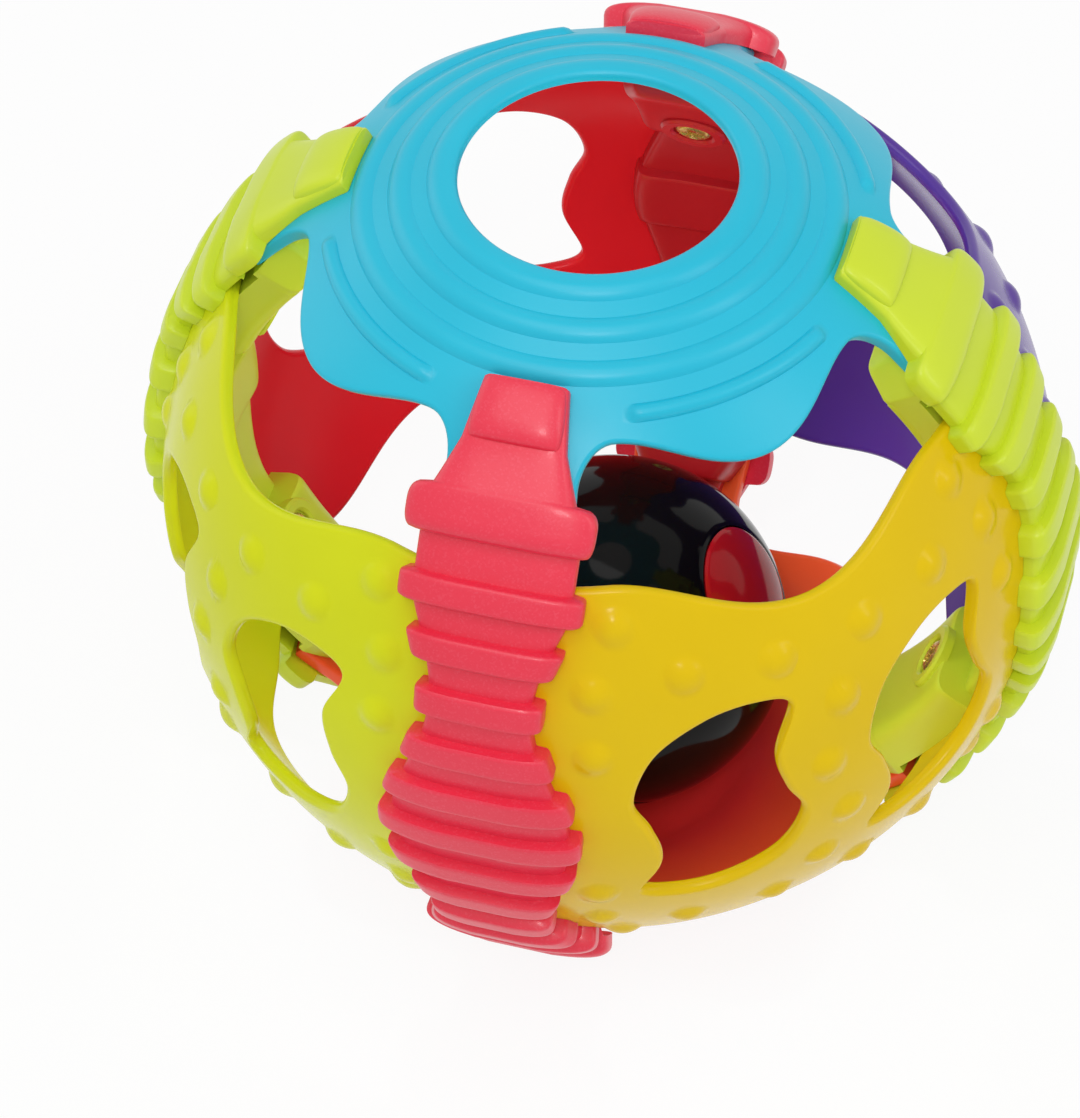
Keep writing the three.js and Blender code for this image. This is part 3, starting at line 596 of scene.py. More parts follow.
def wall_rows(rings):
    """Rows of the outer skin below the lip, round the edge and up the inner skin."""
    lats = []
    for ring in rings:
        lats += crowded(ring, RIDGE_SPREAD)
    lats += crowded(ARC_RIDGE_LAT, ARC_RIDGE_SPREAD) + [LAST_FULL_LAT]
    rows = [shell_row(lat, rings) for lat in lats if lat < LIP_LAT]
    rows += [skirt_row(CAP_RADIUS, step / SKIRT_STEPS, CAP_INSET) for step in range(1, SKIRT_STEPS + 1)]
    rows += edge_rows(CAP_RADIUS, CAP_WALL)
    inner = CAP_RADIUS - CAP_WALL
    rows += [skirt_row(inner, 1 - step / SKIRT_STEPS, CAP_INSET) for step in range(1, SKIRT_STEPS + 1)]
    rows += [skirt_row(inner, 0, CAP_INSET, lat) for lat in INNER_LATS]
    return rows


def draw_cap(closed):
    bm = bmesh.new()
    if closed:
        foot = RIM_HEIGHT + FOOT_RISE
        outside = foot - FLOOR_RECESS
        inside = outside - FLOOR_WALL
        rows = [ring_row(0, outside), ring_row(HOLE_RADIUS - FLOOR_SOFT, outside)]
        rows += [ring_row(HOLE_RADIUS, outside + FLOOR_SOFT), ring_row(HOLE_RADIUS, foot - FOOT_SOFT)]
        rows += [ring_row(HOLE_RADIUS + FOOT_SOFT, foot), ring_row(HOLE_RADIUS + FOOT_WIDTH, foot)]
        rows += wall_rows(RING_RIDGES[1:])
        rows += [ring_row(HOLE_RADIUS + out, inside - drop) for out, drop in FLOOR_CORNER]
        rows.append(ring_row(0, inside))
    else:
        lip_bottom = RIM_HEIGHT - LIP_DEPTH
        rows = [ring_row(HOLE_RADIUS, lip_bottom)]
        for step in range(ROUND_STEPS + 1):
            turn = math.pi / 2 * step / ROUND_STEPS
            height = RIM_HEIGHT - LIP_ROUND * (1 - math.sin(turn))
            rows.append(ring_row(HOLE_RADIUS + LIP_ROUND * (1 - math.cos(turn)), height))
        rows += wall_rows(RING_RIDGES)
        rows.append(ring_row(HOLE_RADIUS, lip_bottom))
    extrude_rows(bm, len(CAP_EDGE), rows)
    weld(bm)
    return bm


UPSIDE_DOWN = Matrix.Rotation(math.pi, 4, "X")
for name, closed, finish, turn in [
    ("top_cap", False, "cap_blue", None),
    ("bottom_cap", True, "cap_orange", UPSIDE_DOWN),
]:
    shape = draw_cap(closed)
    piece = put_piece(f"moulded_{name}", shape, finish, "cage", name, turn)
    print(piece.name, len(piece.data.polygons), "faces")

# %% [markdown]
# ## Panels
# A panel covers a quarter of the cage between two arms. It has wavy upper and lower edges, two wavy openings
# and rows of round bumps. A sheet with a hole is easiest to draw as a ring of columns that run outward from
# the hole, so each half of the panel is one such ring and the two halves are welded along the middle. The
# rounded edges are made of close rows too, which sink towards the middle of the wall.

# %% Outlines of a panel
PANEL_RADIUS = 62.0
PANEL_WALL = 2.0
PANEL_ROUND = 0.95
PANEL_SIDE_LON = 41.4
PANEL_DIP_LAT = 29.9
PANEL_PEAK_LAT = 36.2
PANEL_PEAK_LON = 28.0
PANEL_SHOULDER_DROP = 0.6
OPENING_LON = 15.5
OPENING_LAT = 1.8
OPENING_HALF = (
    (5.0, 16.5), (9.8, 14.7), (7.3, 7.6), (8.5, 1.6), (10.7, -4.0), (8.0, -11.2), (1.6, -15.5),
)
OPENING_STEPS = 40


def panel_edge(lon):
    reach = abs(lon)
    if reach <= PANEL_PEAK_LON:
        rise = (1 - math.cos(math.pi * reach / PANEL_PEAK_LON)) / 2
        return between(PANEL_DIP_LAT, PANEL_PEAK_LAT, rise)
    along = (reach - PANEL_PEAK_LON) / (PANEL_SIDE_LON - PANEL_PEAK_LON)
    return PANEL_PEAK_LAT - PANEL_SHOULDER_DROP * along


def opening_outline(steps):
    """A smooth closed line through the opening's points and the same points turned half round."""
    knots = [Vector(point) for point in OPENING_HALF]
    knots += [-point for point in knots]
    line = []
    for index, knot in enumerate(knots):
        before = knots[index - 1]
        after = knots[(index + 1) % len(knots)]
        further = knots[(index + 2) % len(knots)]
        for step in range(steps):
            t = step / steps
            leave = (after - before) / 2
            arrive = (further - knot) / 2
            line.append(
                knot * (2 * t ** 3 - 3 * t ** 2 + 1) + leave * (t ** 3 - 2 * t ** 2 + t)
                + after * (3 * t ** 2 - 2 * t ** 3) + arrive * (t ** 3 - t ** 2)
            )
    return line


OPENING = opening_outline(OPENING_STEPS)
OPENING_POLAR = sorted((math.atan2(point.y, point.x), point.length) for point in OPENING)


def opening_reach(angle):
    """How far the opening reaches from its middle in a direction, in degrees on the sphere."""
    low, high = 0, len(OPENING_POLAR) - 1
    if angle <= OPENING_POLAR[0][0] or angle >= OPENING_POLAR[-1][0]:
        return (OPENING_POLAR[0][1] + OPENING_POLAR[-1][1]) / 2
    while high - low > 1:
        middle = (low + high) // 2
        if OPENING_POLAR[middle][0] <= angle:
            low = middle
        else:
            high = middle
    (a, near), (b, far) = OPENING_POLAR[low], OPENING_POLAR[high]
    return between(near, far, (angle - a) / max(b - a, 1e-9))


print("opening outline with", len(OPENING), "points")

# %% Bumps and columns of half a panel
BUMP_RADIUS = 2.7
BUMP_HEIGHT = 0.95
BUMP_HALF = (
    (-28, 31.2), (28, 31.2), (-31, 22.6), (31, 22.6), (-31, 13.6), (31, 13.6),
    (-19, 24.2), (19, 24.2), (-6.5, 23.4), (6.5, 23.4), (1.2, 14.8), (-1.5, 5.2),
)
BUMPS = [on_sphere(PANEL_RADIUS, sign * lon, sign * lat) for lon, lat in BUMP_HALF for sign in (1, -1)]
EDGE_POINTS = 64
EDGE_DEPTHS = (1.3, 0.95, 0.7, 0.48, 0.3, 0.16, 0.06, 0.0)
RIM_DEPTH = 1.14
RIM_STEPS = 5
OUTER_STEPS = 30
INNER_STEPS = 8


def bump_relief(place):
    distance = min((place - bump).length for bump in BUMPS)
    return BUMP_HEIGHT * max(0.0, 1 - (distance / BUMP_RADIUS) ** 2)


def edge_drop(lon, lat):
    """How far the skin has sunk towards the middle of the wall, near the panel's rounded edge."""
    above = (panel_edge(lon) - abs(lat)) * math.radians(PANEL_RADIUS)
    aside = (PANEL_SIDE_LON - abs(lon)) * math.cos(math.radians(lat)) * math.radians(PANEL_RADIUS)
    share = 1 - min(above, aside) / PANEL_ROUND
    return PANEL_ROUND * (1 - math.sqrt(max(0.0, 1 - share ** 2))) if share > 0 else 0.0


def half_boundary(side):
    """Points round half a panel: along one edge, up its side, back along the other and down the middle."""
    points = []
    for step in range(EDGE_POINTS):
        lon = PANEL_SIDE_LON * step / EDGE_POINTS
        points.append((lon, -panel_edge(lon)))
    end = panel_edge(PANEL_SIDE_LON)
    points += [(PANEL_SIDE_LON, between(-end, end, step / EDGE_POINTS)) for step in range(EDGE_POINTS)]
    for step in range(EDGE_POINTS):
        lon = PANEL_SIDE_LON * (1 - step / EDGE_POINTS)
        points.append((lon, panel_edge(lon)))
    near = [panel_edge(0) - math.degrees(depth / PANEL_RADIUS) for depth in EDGE_DEPTHS[::-1]]
    run = [between(near[-1], -near[-1], step / EDGE_POINTS) for step in range(1, EDGE_POINTS)]
    points += [(0, lat) for lat in near + run + [-lat for lat in near[:0:-1]]]
    return [(side * lon, lat) for lon, lat in points]


def half_panel(bm, side):
    inner = PANEL_RADIUS - PANEL_WALL
    boundary = half_boundary(side)
    middle = Vector((side * OPENING_LON, OPENING_LAT))
    rim = []
    for point in boundary:
        away = Vector(point) - middle
        rim.append(middle + away.normalized() * opening_reach(math.atan2(away.y, away.x)))

    def from_rim(column, depth):
        away = Vector(boundary[column]) - rim[column]
        return rim[column] + away.normalized() * math.degrees(depth / PANEL_RADIUS)

    def from_edge(column, depth):
        away = rim[column] - Vector(boundary[column])
        return Vector(boundary[column]) + away.normalized() * math.degrees(depth / PANEL_RADIUS)

    def outer_place(spot):
        place = on_sphere(PANEL_RADIUS - edge_drop(*spot), *spot)
        return place * (1 + bump_relief(place) / PANEL_RADIUS)

    def inner_place(spot):
        return on_sphere(inner + edge_drop(*spot), *spot)

    def plain(column, share):
        return from_rim(column, RIM_DEPTH).lerp(from_edge(column, EDGE_DEPTHS[0]), share)

    def rim_row(radius, depth):
        return lambda column: on_sphere(radius, *from_rim(column, depth))

    rows = [lambda column, depth=depth: inner_place(from_edge(column, depth)) for depth in EDGE_DEPTHS[::-1]]
    for step in range(1, INNER_STEPS + 1):
        rows.append(lambda column, share=1 - step / INNER_STEPS: inner_place(plain(column, share)))
    turns = [math.pi / 2 * step / RIM_STEPS for step in range(RIM_STEPS + 1)]
    for turn in turns:
        rows.append(rim_row(inner + PANEL_ROUND * (1 - math.cos(turn)), PANEL_ROUND * (1 - math.sin(turn))))
    for turn in turns:
        radius = PANEL_RADIUS - PANEL_ROUND * (1 - math.sin(turn))
        rows.append(rim_row(radius, PANEL_ROUND * (1 - math.cos(turn))))
    for step in range(OUTER_STEPS):
        rows.append(lambda column, share=step / OUTER_STEPS: outer_place(plain(column, share)))
    rows += [lambda column, depth=depth: outer_place(from_edge(column, depth)) for depth in EDGE_DEPTHS]
    extrude_rows(bm, len(boundary), rows)


def draw_panel():
    bm = bmesh.new()
    for side in (-1, 1):
        half_panel(bm, side)
    bmesh.ops.remove_doubles(bm, verts=bm.verts, dist=1e-3)
    rim = [edge for edge in bm.edges if edge.is_boundary]
    bmesh.ops.bridge_loops(bm, edges=rim)
    weld(bm)
    return bm


panel_shape = draw_panel()
open_edges = sum(1 for edge in panel_shape.edges if not edge.is_manifold)
print("panel", len(panel_shape.faces), "faces,", open_edges, "open edges")
for count, (name, finish) in enumerate([
    ("panel_front_right", "panel_yellow"),
    ("panel_back_right", "panel_purple"),
    ("panel_back_left", "panel_red"),
    ("panel_front_left", "panel_lime"),
]):
    turn = Matrix.Rotation(math.radians(45 + 90 * count), 4, "Z")
    put_piece(f"moulded_{name}", panel_shape, finish, "cage", name, turn)

# %% [markdown]
# ## Outer arm halves
# The arms are ribbed so that small hands and gums find a grip. An arm is a closed section that travels along
# a meridian: at each angle formulas give its half width and its height, and the section's top is a rounded
# rectangle between them. Flat-topped ribs stick out past the valleys on both sides. After the last rib come
# a taller shoulder and a scooped neck, and a bar lies on the arm's end as a block of its own.

# %% Widths and heights along an arm
ARM_SEAT = 62.02
ARM_END_SEAT = 63.32
ARM_VALLEY = 64.5
RIB_HEIGHT = 1.4
RIB_PITCH = 6.8
RIBS_EACH_WAY = 5
RIB_FOOT = 1.7
RIB_OVERHANG = 1.6
RIB_ROUND_OFF = 6
BULGE_HALF_WIDTH = 13.6
WAIST_HALF_WIDTH = 8.3
WAIST_ANGLE = 20.3
SHOULDER_ANGLE = 43.3
SHOULDER_HALF_WIDTH = 11.9
SHOULDER_FOOT = 2.9
SHOULDER_CREST = 66.8
SHOULDER_ROUND_OFF = 3
NECK_HIGH = 66.5
NECK_LOW = 65.5
NECK_BASE_HALF_WIDTH = 8.9
NECK_TIP_HALF_WIDTH = 6.6
NECK_END_HALF_WIDTH = 5.3
BAR_START = 51.7
BAR_END = 59.0
BAR_START_HALF_WIDTH = 6.0
BAR_END_HALF_WIDTH = 5.2
BAR_CREST = 67.0
BAR_TILT = 0.45
BAR_SINK = 0.6
BAR_FOOT_SHARE = 0.85
BAR_ROUND_OFF = 2.4
TAB_STEP_ANGLE = 40.6


def rib_half_width(angle):
    wave = math.cos(math.pi * angle / WAIST_ANGLE)
    width = (BULGE_HALF_WIDTH + WAIST_HALF_WIDTH) / 2 + (BULGE_HALF_WIDTH - WAIST_HALF_WIDTH) / 2 * wave
    return min(width, SHOULDER_HALF_WIDTH) if angle > WAIST_ANGLE else width


def rib_lift(angle):
    """How far the arm stands up as a rib at an angle, from 0 to 1."""
    middle = min(round(angle / RIB_PITCH), RIBS_EACH_WAY) * RIB_PITCH
    return block_lift(angle, middle - RIB_FOOT, middle + RIB_FOOT, RIB_ROUND_OFF)


def block_lift(angle, start, end, round_off):
    """How far a block with rounded ends stands up between two angles, from 0 to 1."""
    share = abs(2 * (angle - start) / (end - start) - 1)
    return max(0.0, 1 - share ** round_off) ** (1 / round_off) if share < 1 else 0.0


def outer_arm_size(angle):
    """Half width, seat and top of the outer half at an angle from its middle."""
    angle = abs(angle)
    neck_start = SHOULDER_ANGLE + SHOULDER_FOOT
    shoulder = block_lift(angle, SHOULDER_ANGLE - SHOULDER_FOOT, neck_start, SHOULDER_ROUND_OFF)
    seat = ARM_END_SEAT if angle > TAB_STEP_ANGLE else ARM_SEAT
    if angle < SHOULDER_ANGLE:
        lift = rib_lift(angle)
        width = rib_half_width(angle) - RIB_OVERHANG * (1 - lift)
        width = max(width, between(width, SHOULDER_HALF_WIDTH, shoulder))
        top = max(ARM_VALLEY + RIB_HEIGHT * lift, between(ARM_VALLEY, SHOULDER_CREST, shoulder))
        return width, seat, top
    along = min(max(0.0, (angle - neck_start) / (BAR_START - neck_start)), 1.0)
    beyond = max(0.0, (angle - BAR_START) / (BAR_END - BAR_START))
    width = between(between(NECK_BASE_HALF_WIDTH, NECK_TIP_HALF_WIDTH, along), NECK_END_HALF_WIDTH, beyond)
    scoop = between(NECK_LOW, NECK_HIGH, (1 - along) ** 2)
    return between(width, SHOULDER_HALF_WIDTH, shoulder), seat, between(scoop, SHOULDER_CREST, shoulder)


def bar_size(angle):
    """Half width, seat and top of the bar that lies on the arm's end, with its lip towards the neck."""
    along = (abs(angle) - BAR_START) / (BAR_END - BAR_START)
    lift = block_lift(abs(angle), BAR_START, BAR_END, BAR_ROUND_OFF)
    width = between(BAR_START_HALF_WIDTH, BAR_END_HALF_WIDTH, along) * between(BAR_FOOT_SHARE, 1, lift)
    return width, NECK_LOW - BAR_SINK, between(NECK_LOW, BAR_CREST, lift * (1 - BAR_TILT * along))


print("waist", outer_arm_size(WAIST_ANGLE)[0], "mm and bulge", outer_arm_size(0)[0], "mm half width")

# %% Sections along an arm
SECTION_BELOW = 8
SECTION_ABOVE = 26
STATION_STEP = 0.22
END_SHRINK = 0.94
ARM_SQUARENESS = 5.5
BAR_SQUARENESS = 3.2
BAR_BACK = 0.15


def on_arm(angle, across, radius):
    """A point on the front arm: angle along it, millimetres across it, radius from the cage's middle."""
    turn = across / PANEL_RADIUS
    level = radius * math.cos(turn)
    angle = math.radians(angle)
    return Vector((radius * math.sin(turn), -level * math.cos(angle), level * math.sin(angle)))


def section_point(column, width, seat, top, squareness):
    """Across and radius of one point of the section: its seat first, then over its rounded top."""
    if column < SECTION_BELOW:
        return width * (2 * (column + 0.5) / SECTION_BELOW - 1), seat
    turn = math.pi * (column - SECTION_BELOW) / (SECTION_ABOVE - 1)
    across = math.copysign(abs(math.cos(turn)) ** (2 / squareness), math.cos(turn))
    return width * across, between(seat, top, max(0.0, math.sin(turn)) ** (2 / squareness))


def arm_row(angle, size, shrink, squareness):
    width, seat, top = size

    def place(column):
        across, radius = section_point(column, width, seat, top, squareness)
        return on_arm(angle, across * shrink, between((seat + top) / 2, radius, shrink))
    return place


def draw_span(start, end, size_at, squareness):
    """A closed moulding along the front arm from one angle to another."""
    bm = bmesh.new()
    stations = round((end - start) / STATION_STEP)
    angles = [between(start, end, index / stations) for index in range(stations + 1)]
    rows = [arm_row(start, size_at(start), shrink, squareness) for shrink in (0, END_SHRINK)]
    rows += [arm_row(angle, size_at(angle), 1, squareness) for angle in angles[1:-1]]
    rows += [arm_row(end, size_at(end), shrink, squareness) for shrink in (END_SHRINK, 0)]
    extrude_rows(bm, SECTION_BELOW + SECTION_ABOVE, rows)
    weld(bm)
    return bm


def join(bm, other):
    """Adds another shape to a shape."""
    mesh = bpy.data.meshes.new("joined")
    other.to_mesh(mesh)
    bm.from_mesh(mesh)
    bpy.data.meshes.remove(mesh)


ARM_SIDES = ("front", "right", "back", "left")
ARM_TONES = ("pink", "lime", "pink", "lime")
outer_shape = draw_span(-BAR_END, BAR_END, outer_arm_size, ARM_SQUARENESS)
join(outer_shape, draw_span(BAR_START, BAR_END - BAR_BACK, bar_size, BAR_SQUARENESS))
join(outer_shape, draw_span(BAR_BACK - BAR_END, -BAR_START, bar_size, BAR_SQUARENESS))
for count, (side, tone) in enumerate(zip(ARM_SIDES, ARM_TONES)):
    node = f"outer_arm_{side}"
    put_piece(f"ribbed_{node}", outer_shape, f"arm_{tone}", "cage", node, quarter_turn(count))
print("outer arm", len(outer_shape.faces), "faces")

# %% [markdown]
# ## Inner arm halves
# Inside the cage each arm has a second half with the same waist. It is made the same way, with its top
# pointing inward: a pad in the middle and a deep block near each end. A block carries a round boss, which is
# a ring spun from a small profile, and a screw sits in it.

# %% Inner halves and their bosses
STRIP_SEAT = 59.98
STRIP_END_SEAT = 60.98
STRIP_VALLEY = 57.5
STRIP_INSET = 1.4
STRIP_TIP_ANGLE = 53.0
STRIP_TIP_HALF_WIDTH = 4.6
STRIP_TIP_WALL = 2.28
PAD_FACE = 55.9
PAD_FOOT = 5.2
PAD_OVERHANG = 0.6
PAD_ROUND_OFF = 8
BLOCK_FACE = 53.2
BLOCK_START = 22.5
BLOCK_TAPER = 41.6
BLOCK_END = 46.2
BLOCK_HALF_WIDTH = 9.6
BLOCK_END_HALF_WIDTH = 7.0
BLOCK_ROUND_OFF = 14
STRIP_SQUARENESS = 6
SCREW_ANGLE = 26.7
BOSS_RADIUS = 4.8
BOSS_FACE = 52.2
BOSS_BORE = 2.9
BOSS_ROUND = 0.4
BOSS_ROOT = 0.6
BOSS_STEPS = 48


def inner_arm_size(angle):
    """Half width, seat and inner face of the inner half at an angle from its middle."""
    angle = abs(angle)
    seat = STRIP_END_SEAT if angle > TAB_STEP_ANGLE else STRIP_SEAT
    block = block_lift(angle, BLOCK_START, BLOCK_END, BLOCK_ROUND_OFF)
    if angle < (BLOCK_START + BLOCK_END) / 2:
        pad = block_lift(angle, -PAD_FOOT, PAD_FOOT, PAD_ROUND_OFF)
        width = rib_half_width(angle) - STRIP_INSET + PAD_OVERHANG * pad
        face = between(STRIP_VALLEY, PAD_FACE, pad)
        return between(width, BLOCK_HALF_WIDTH, block), seat, between(face, BLOCK_FACE, block)
    along = max(0.0, (angle - BLOCK_END) / (STRIP_TIP_ANGLE - BLOCK_END))
    width = between(STRIP_TIP_HALF_WIDTH + RIB_OVERHANG, STRIP_TIP_HALF_WIDTH, along)
    taper = max(0.0, (angle - BLOCK_TAPER) / (BLOCK_END - BLOCK_TAPER))
    block_width = between(BLOCK_HALF_WIDTH, BLOCK_END_HALF_WIDTH, min(taper, 1.0))
    face = between(STRIP_END_SEAT - STRIP_TIP_WALL, BLOCK_FACE, block)
    return between(width, block_width, block), seat, face


def spin_profile(bm, profile, steps):
    """A ring or solid of revolution about Z from (radius, height) points."""
    verts = [bm.verts.new((radius, 0, height)) for radius, height in profile]
    edges = [bm.edges.new(pair) for pair in zip(verts, verts[1:])]
    bmesh.ops.spin(
        bm, geom=verts + edges, cent=(0, 0, 0), axis=(0, 0, 1),
        angle=2 * math.pi, steps=steps, use_merge=True,
    )


def towards(lon, lat):
    """Turns +Z towards a longitude and latitude."""
    return Vector((0, 0, 1)).rotation_difference(on_sphere(1, lon, lat)).to_matrix().to_4x4()


def draw_boss(angle):
    low, high = BOSS_FACE, BLOCK_FACE + BOSS_ROOT
    profile = [(BOSS_BORE, high), (BOSS_BORE, low + BOSS_ROUND), (BOSS_BORE + BOSS_ROUND, low)]
    profile += [(BOSS_RADIUS - BOSS_ROUND, low), (BOSS_RADIUS, low + BOSS_ROUND), (BOSS_RADIUS, high)]
    profile += [(BOSS_BORE, high)]
    bm = bmesh.new()
    spin_profile(bm, profile, BOSS_STEPS)
    weld(bm)
    bm.transform(towards(0, angle))
    return bm


inner_shape = draw_span(-STRIP_TIP_ANGLE, STRIP_TIP_ANGLE, inner_arm_size, STRIP_SQUARENESS)
for way in (-1, 1):
    join(inner_shape, draw_boss(way * SCREW_ANGLE))
for count, (side, tone) in enumerate(zip(ARM_SIDES, ARM_TONES)):
    node = f"inner_arm_{side}"
    put_piece(f"ribbed_{node}", inner_shape, f"strip_{tone}", "cage", node, quarter_turn(count))
print("inner arm", len(inner_shape.faces), "faces")

# %% [markdown]
# ## Screws
# A small pan head screw with a cross recess. The head is a disc of rings whose height is a formula: a flat
# crown that rounds off at its rim, less a cross that gets shallower towards its tips. The shank goes on below
# with a few more rows.

# %% Pan head screws
SCREW_HEAD_RADIUS = 2.6
SCREW_HEAD_HEIGHT = 1.5
SCREW_SEAT = 53.8
SHANK_RADIUS = 1.2
SHANK_TIP = 62.5
CROSS_REACH = 1.7
CROSS_HALF_WIDTH = 0.58
CROSS_DEPTH = 1.35
CROSS_RISE = 0.55
CROWN_SHARE = 0.4
CROWN_POWER = 6
HEAD_COLUMNS = 96
HEAD_RINGS = 26


def crown_drop(x, y):
    """Depth of the head's surface below its crown."""
    reach = math.hypot(x, y)
    dome = SCREW_HEAD_HEIGHT * CROWN_SHARE * (reach / SCREW_HEAD_RADIUS) ** CROWN_POWER
    narrow = min(abs(x), abs(y))
    if max(abs(x), abs(y)) < CROSS_REACH and narrow < CROSS_HALF_WIDTH:
        return dome + CROSS_DEPTH * (1 - CROSS_RISE * reach / CROSS_REACH)
    return dome


def head_row(ring):
    reach = SCREW_HEAD_RADIUS * ring / HEAD_RINGS

    def place(column):
        turn = 2 * math.pi * column / HEAD_COLUMNS
        x, y = reach * math.cos(turn), reach * math.sin(turn)
        return Vector((x, y, SCREW_SEAT - SCREW_HEAD_HEIGHT + crown_drop(x, y)))
    return place


def rod_row(radius, height):
    def place(column):
        turn = 2 * math.pi * column / HEAD_COLUMNS
        return Vector((radius * math.cos(turn), radius * math.sin(turn), height))
    return place


def draw_screw():
    bm = bmesh.new()
    rows = [head_row(ring) for ring in range(HEAD_RINGS + 1)]
    rows += [rod_row(SCREW_HEAD_RADIUS, SCREW_SEAT), rod_row(SHANK_RADIUS, SCREW_SEAT)]
    rows += [rod_row(SHANK_RADIUS, SHANK_TIP - SHANK_RADIUS), rod_row(0, SHANK_TIP)]
    extrude_rows(bm, HEAD_COLUMNS, rows)
    weld(bm)
    return bm


screw_shape = draw_screw()
for count, side in enumerate(ARM_SIDES):
    for end, way in (("upper", 1), ("lower", -1)):
        node = f"screw_{side}_{end}"
        turn = quarter_turn(count) @ towards(0, way * SCREW_ANGLE)
        put_piece(f"pan_head_{node}", screw_shape, "screw_brass", "cage", node, turn)
print("screw", len(screw_shape.faces), "faces")

# %% [markdown]
# ## Rattle ball
# Two half shells meet in a fine seam, and each has a round window let into it. Both are turned shapes, so
# their profiles are spun about the axis through the windows. The small roundings at the seam and round the
# window catch the light as thin lines, which is what makes a glossy black ball read as an assembled one.

# %% Half shells and windows
BALL_RADIUS = 25.6
BALL_WALL = 2.6
WINDOW_HALF_ANGLE = 23.0
WINDOW_WALL = 1.2
WINDOW_GAP_ANGLE = 0.7
WINDOW_AXIS = (92.5, 33.0)
SEAM_HALF_GAP = 0.15
SEAM_DIP = 0.3
POCKET_GAP = 0.3
EDGE_DIP = 0.12
WINDOW_DIP = 0.15
BALL_STEPS = 128


def ball_arc(radius, start, end, steps):
    """Profile points on an arc about the ball's middle, by angle from its pole."""
    angles = [math.radians(between(start, end, step / steps)) for step in range(steps + 1)]
    return [(radius * math.sin(angle), radius * math.cos(angle)) for angle in angles]


def draw_half_shell():
    bm = bmesh.new()
    pocket = WINDOW_HALF_ANGLE + WINDOW_GAP_ANGLE
    floor = BALL_RADIUS - WINDOW_WALL - POCKET_GAP
    profile = [(0, floor)] + ball_arc(floor, 2, pocket, 10)
    profile += ball_arc(BALL_RADIUS - EDGE_DIP, pocket, pocket + 0.2, 1)
    profile += ball_arc(BALL_RADIUS, pocket + 0.7, 89.0, 48)
    profile += [(BALL_RADIUS - EDGE_DIP, SEAM_HALF_GAP + 0.1), (BALL_RADIUS - SEAM_DIP, SEAM_HALF_GAP)]
    profile += [(BALL_RADIUS - BALL_WALL, SEAM_HALF_GAP)]
    profile += ball_arc(BALL_RADIUS - BALL_WALL, 89, 2, 24) + [(0, BALL_RADIUS - BALL_WALL)]
    spin_profile(bm, profile, BALL_STEPS)
    weld(bm)
    return bm


def draw_window():
    bm = bmesh.new()
    under = BALL_RADIUS - WINDOW_WALL
    profile = [(0, BALL_RADIUS)] + ball_arc(BALL_RADIUS, 1, WINDOW_HALF_ANGLE - 0.6, 20)
    profile += ball_arc(BALL_RADIUS - WINDOW_DIP, WINDOW_HALF_ANGLE - 0.1, WINDOW_HALF_ANGLE, 1)
    profile += ball_arc(under, WINDOW_HALF_ANGLE, 2, 10) + [(0, under)]
    spin_profile(bm, profile, BALL_STEPS)
    weld(bm)
    return bm


window_turn = towards(*WINDOW_AXIS)
shell_shape, window_shape = draw_half_shell(), draw_window()
halves = (("shell", shell_shape, "ball_black"), ("window", window_shape, "window_red"))
for end, turn in (("upper", window_turn), ("lower", window_turn @ UPSIDE_DOWN)):
    for kind, shape, finish in halves:
        node = f"rattle_{kind}_{end}"
        put_piece(f"glossy_{node}", shape, finish, "rattle_ball", node, turn, BALL_MIDDLE)
print("half shell", len(shell_shape.faces), "faces")

# %% Beads inside the rattle ball
for number in range(1, 7):
    bead_node = frame["nodes"][f"rattle_bead_{number}"]
    bead_node.data.materials.clear()
    bead_node.data.materials.append(FINISHES["bead_white"])
print("beads painted")

# %% [markdown]
# ## Floor and light
# The photograph is a studio cut-out on white, lit softly from all round with a stronger light from above. A
# white world fills the shadows, a wide lamp above gives shape, and side lamps give the gloss something to
# mirror. The photograph's inside is hardly darker than its outside, so a few weak bulbs light the walls there.
# The floor stays a real surface with a real shadow, and the camera sees it brightened towards white.

# %% Floor
FLOOR_SIZE = 3.0
FLOOR_GLOW = 0.9


def background_rays(nodes, links):
    """1 for rays that show the background: from the camera, off a mirror or through glass."""
    path = nodes.new("ShaderNodeLightPath")
    shown = path.outputs["Is Camera Ray"]
    for kind in ("Is Glossy Ray", "Is Transmission Ray"):
        shown = combine(nodes, links, "MAXIMUM", shown, path.outputs[kind])
    return shown


def white_floor():
    material, nodes, links = principled("white_floor")
    nodes.remove(nodes["Principled BSDF"])
    out = nodes["Material Output"]
    paper = nodes.new("ShaderNodeBsdfDiffuse")
    paper.inputs["Color"].default_value = (0.9, 0.9, 0.9, 1)
    glow = nodes.new("ShaderNodeEmission")
    glow.inputs["Color"].default_value = (1, 1, 1, 1)
    share = nodes.new("ShaderNodeMath")
    share.operation = "MULTIPLY"
    share.inputs[1].default_value = FLOOR_GLOW
    links.new(background_rays(nodes, links), share.inputs[0])
    mix = nodes.new("ShaderNodeMixShader")
    links.new(share.outputs["Value"], mix.inputs["Fac"])
    links.new(paper.outputs["BSDF"], mix.inputs[1])
    links.new(glow.outputs["Emission"], mix.inputs[2])
    links.new(mix.outputs["Shader"], out.inputs["Surface"])
    return material


floor_mesh = bpy.data.meshes.new("floor")
floor_bm = bmesh.new()
bmesh.ops.create_grid(floor_bm, x_segments=1, y_segments=1, size=FLOOR_SIZE / 2)
floor_bm.to_mesh(floor_mesh)
floor_mesh.materials.append(white_floor())
floor = bpy.data.objects.new("floor", floor_mesh)
bpy.context.scene.collection.objects.link(floor)
print("floor", FLOOR_SIZE, "m wide")

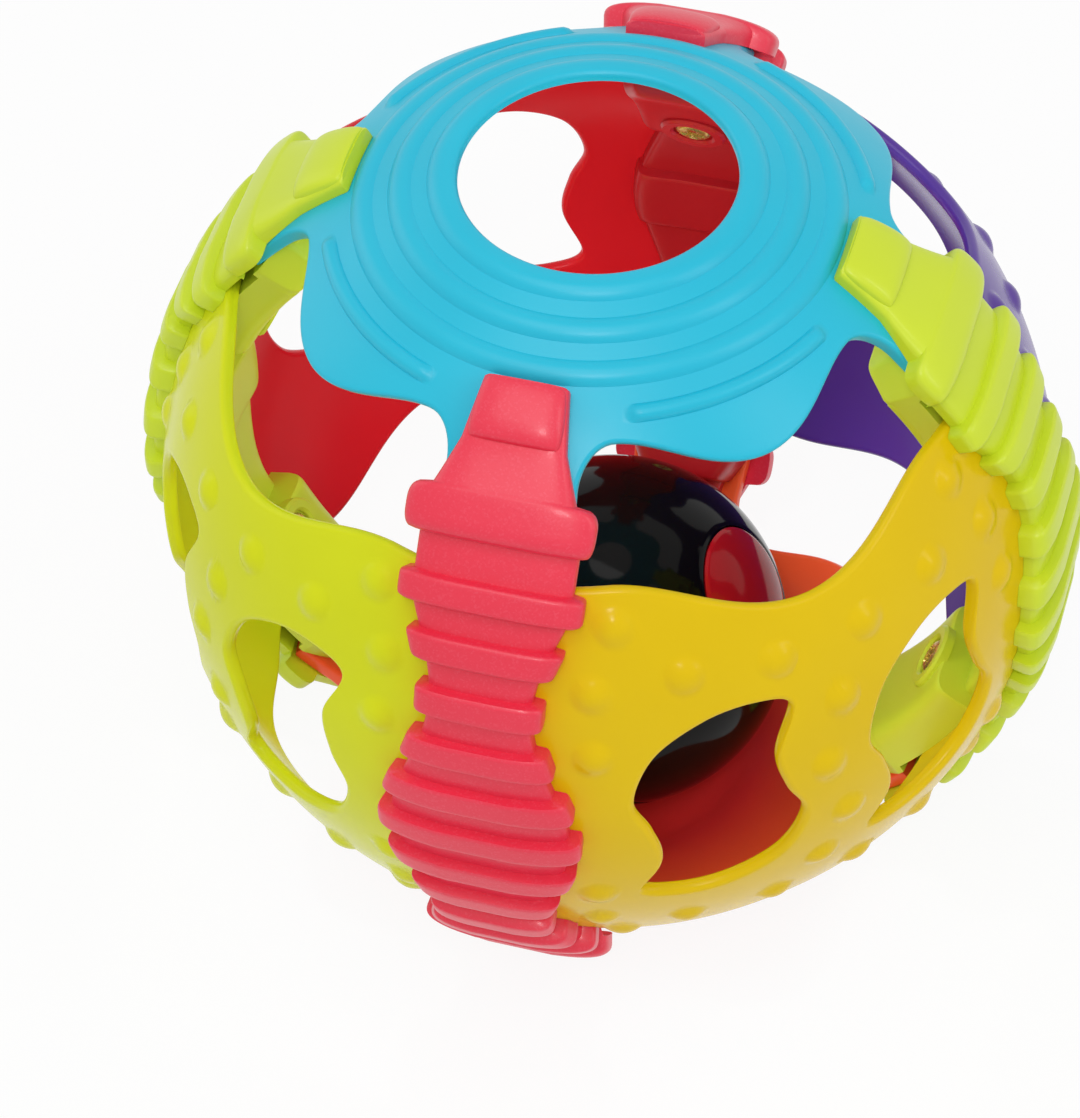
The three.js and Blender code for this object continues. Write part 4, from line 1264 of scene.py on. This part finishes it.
# %% Lamps and world
BULB_SIZE = 0.005
WORLD_FILL = 0.58


def area_lamp(name, azimuth, elevation, distance, size, power, length=None):
    data = bpy.data.lights.new(name, "AREA")
    data.energy = power
    data.size = size
    if length:
        data.shape = "RECTANGLE"
        data.size_y = length
    away = on_sphere(distance, azimuth, elevation)
    lamp = bpy.data.objects.new(name, data)
    turn = away.to_track_quat("Z", "Y").to_matrix().to_4x4()
    lamp.matrix_world = Matrix.Translation(CAGE_MIDDLE + away) @ turn
    bpy.context.scene.collection.objects.link(lamp)


def inner_bulb(name, lon, lat, reach, power):
    """A weak bulb inside the cage, which only lifts the shadows there."""
    data = bpy.data.lights.new(name, "POINT")
    data.energy = power
    data.shadow_soft_size = BULB_SIZE
    lamp = bpy.data.objects.new(name, data)
    lamp.location = CAGE_MIDDLE + on_sphere(reach, lon, lat)
    lamp.visible_camera = False
    lamp.visible_glossy = False
    bpy.context.scene.collection.objects.link(lamp)


def white_world():
    world = bpy.data.worlds.new("studio")
    bpy.context.scene.world = world
    world.use_nodes = True
    nodes, links = world.node_tree.nodes, world.node_tree.links
    strength = nodes.new("ShaderNodeMapRange")
    strength.inputs["To Min"].default_value = WORLD_FILL
    strength.inputs["To Max"].default_value = 1.0
    links.new(background_rays(nodes, links), strength.inputs["Value"])
    nodes["Background"].inputs["Color"].default_value = (1, 1, 1, 1)
    links.new(strength.outputs["Result"], nodes["Background"].inputs["Strength"])


white_world()
area_lamp("key", -15, 74, 0.9, 0.55, 1.75)
area_lamp("front_fill", 13, 52, 1.0, 0.16, 1.6)
area_lamp("right_strip", 80, 35, 0.7, 0.12, 0.7, 0.5)
area_lamp("left_fill", -100, 25, 0.8, 0.5, 0.6)
inner_bulb("upper_bulb", 0, 90, 0.022, 0.036)
for lon, power in ((45, 0.007), (135, 0.003), (225, 0.003), (315, 0.003)):
    inner_bulb(f"lower_bulb_{lon}", lon, -30, 0.043, power)
bpy.context.scene.view_settings.view_transform = "Standard"
print("lamps", [light.name for light in bpy.data.lights])
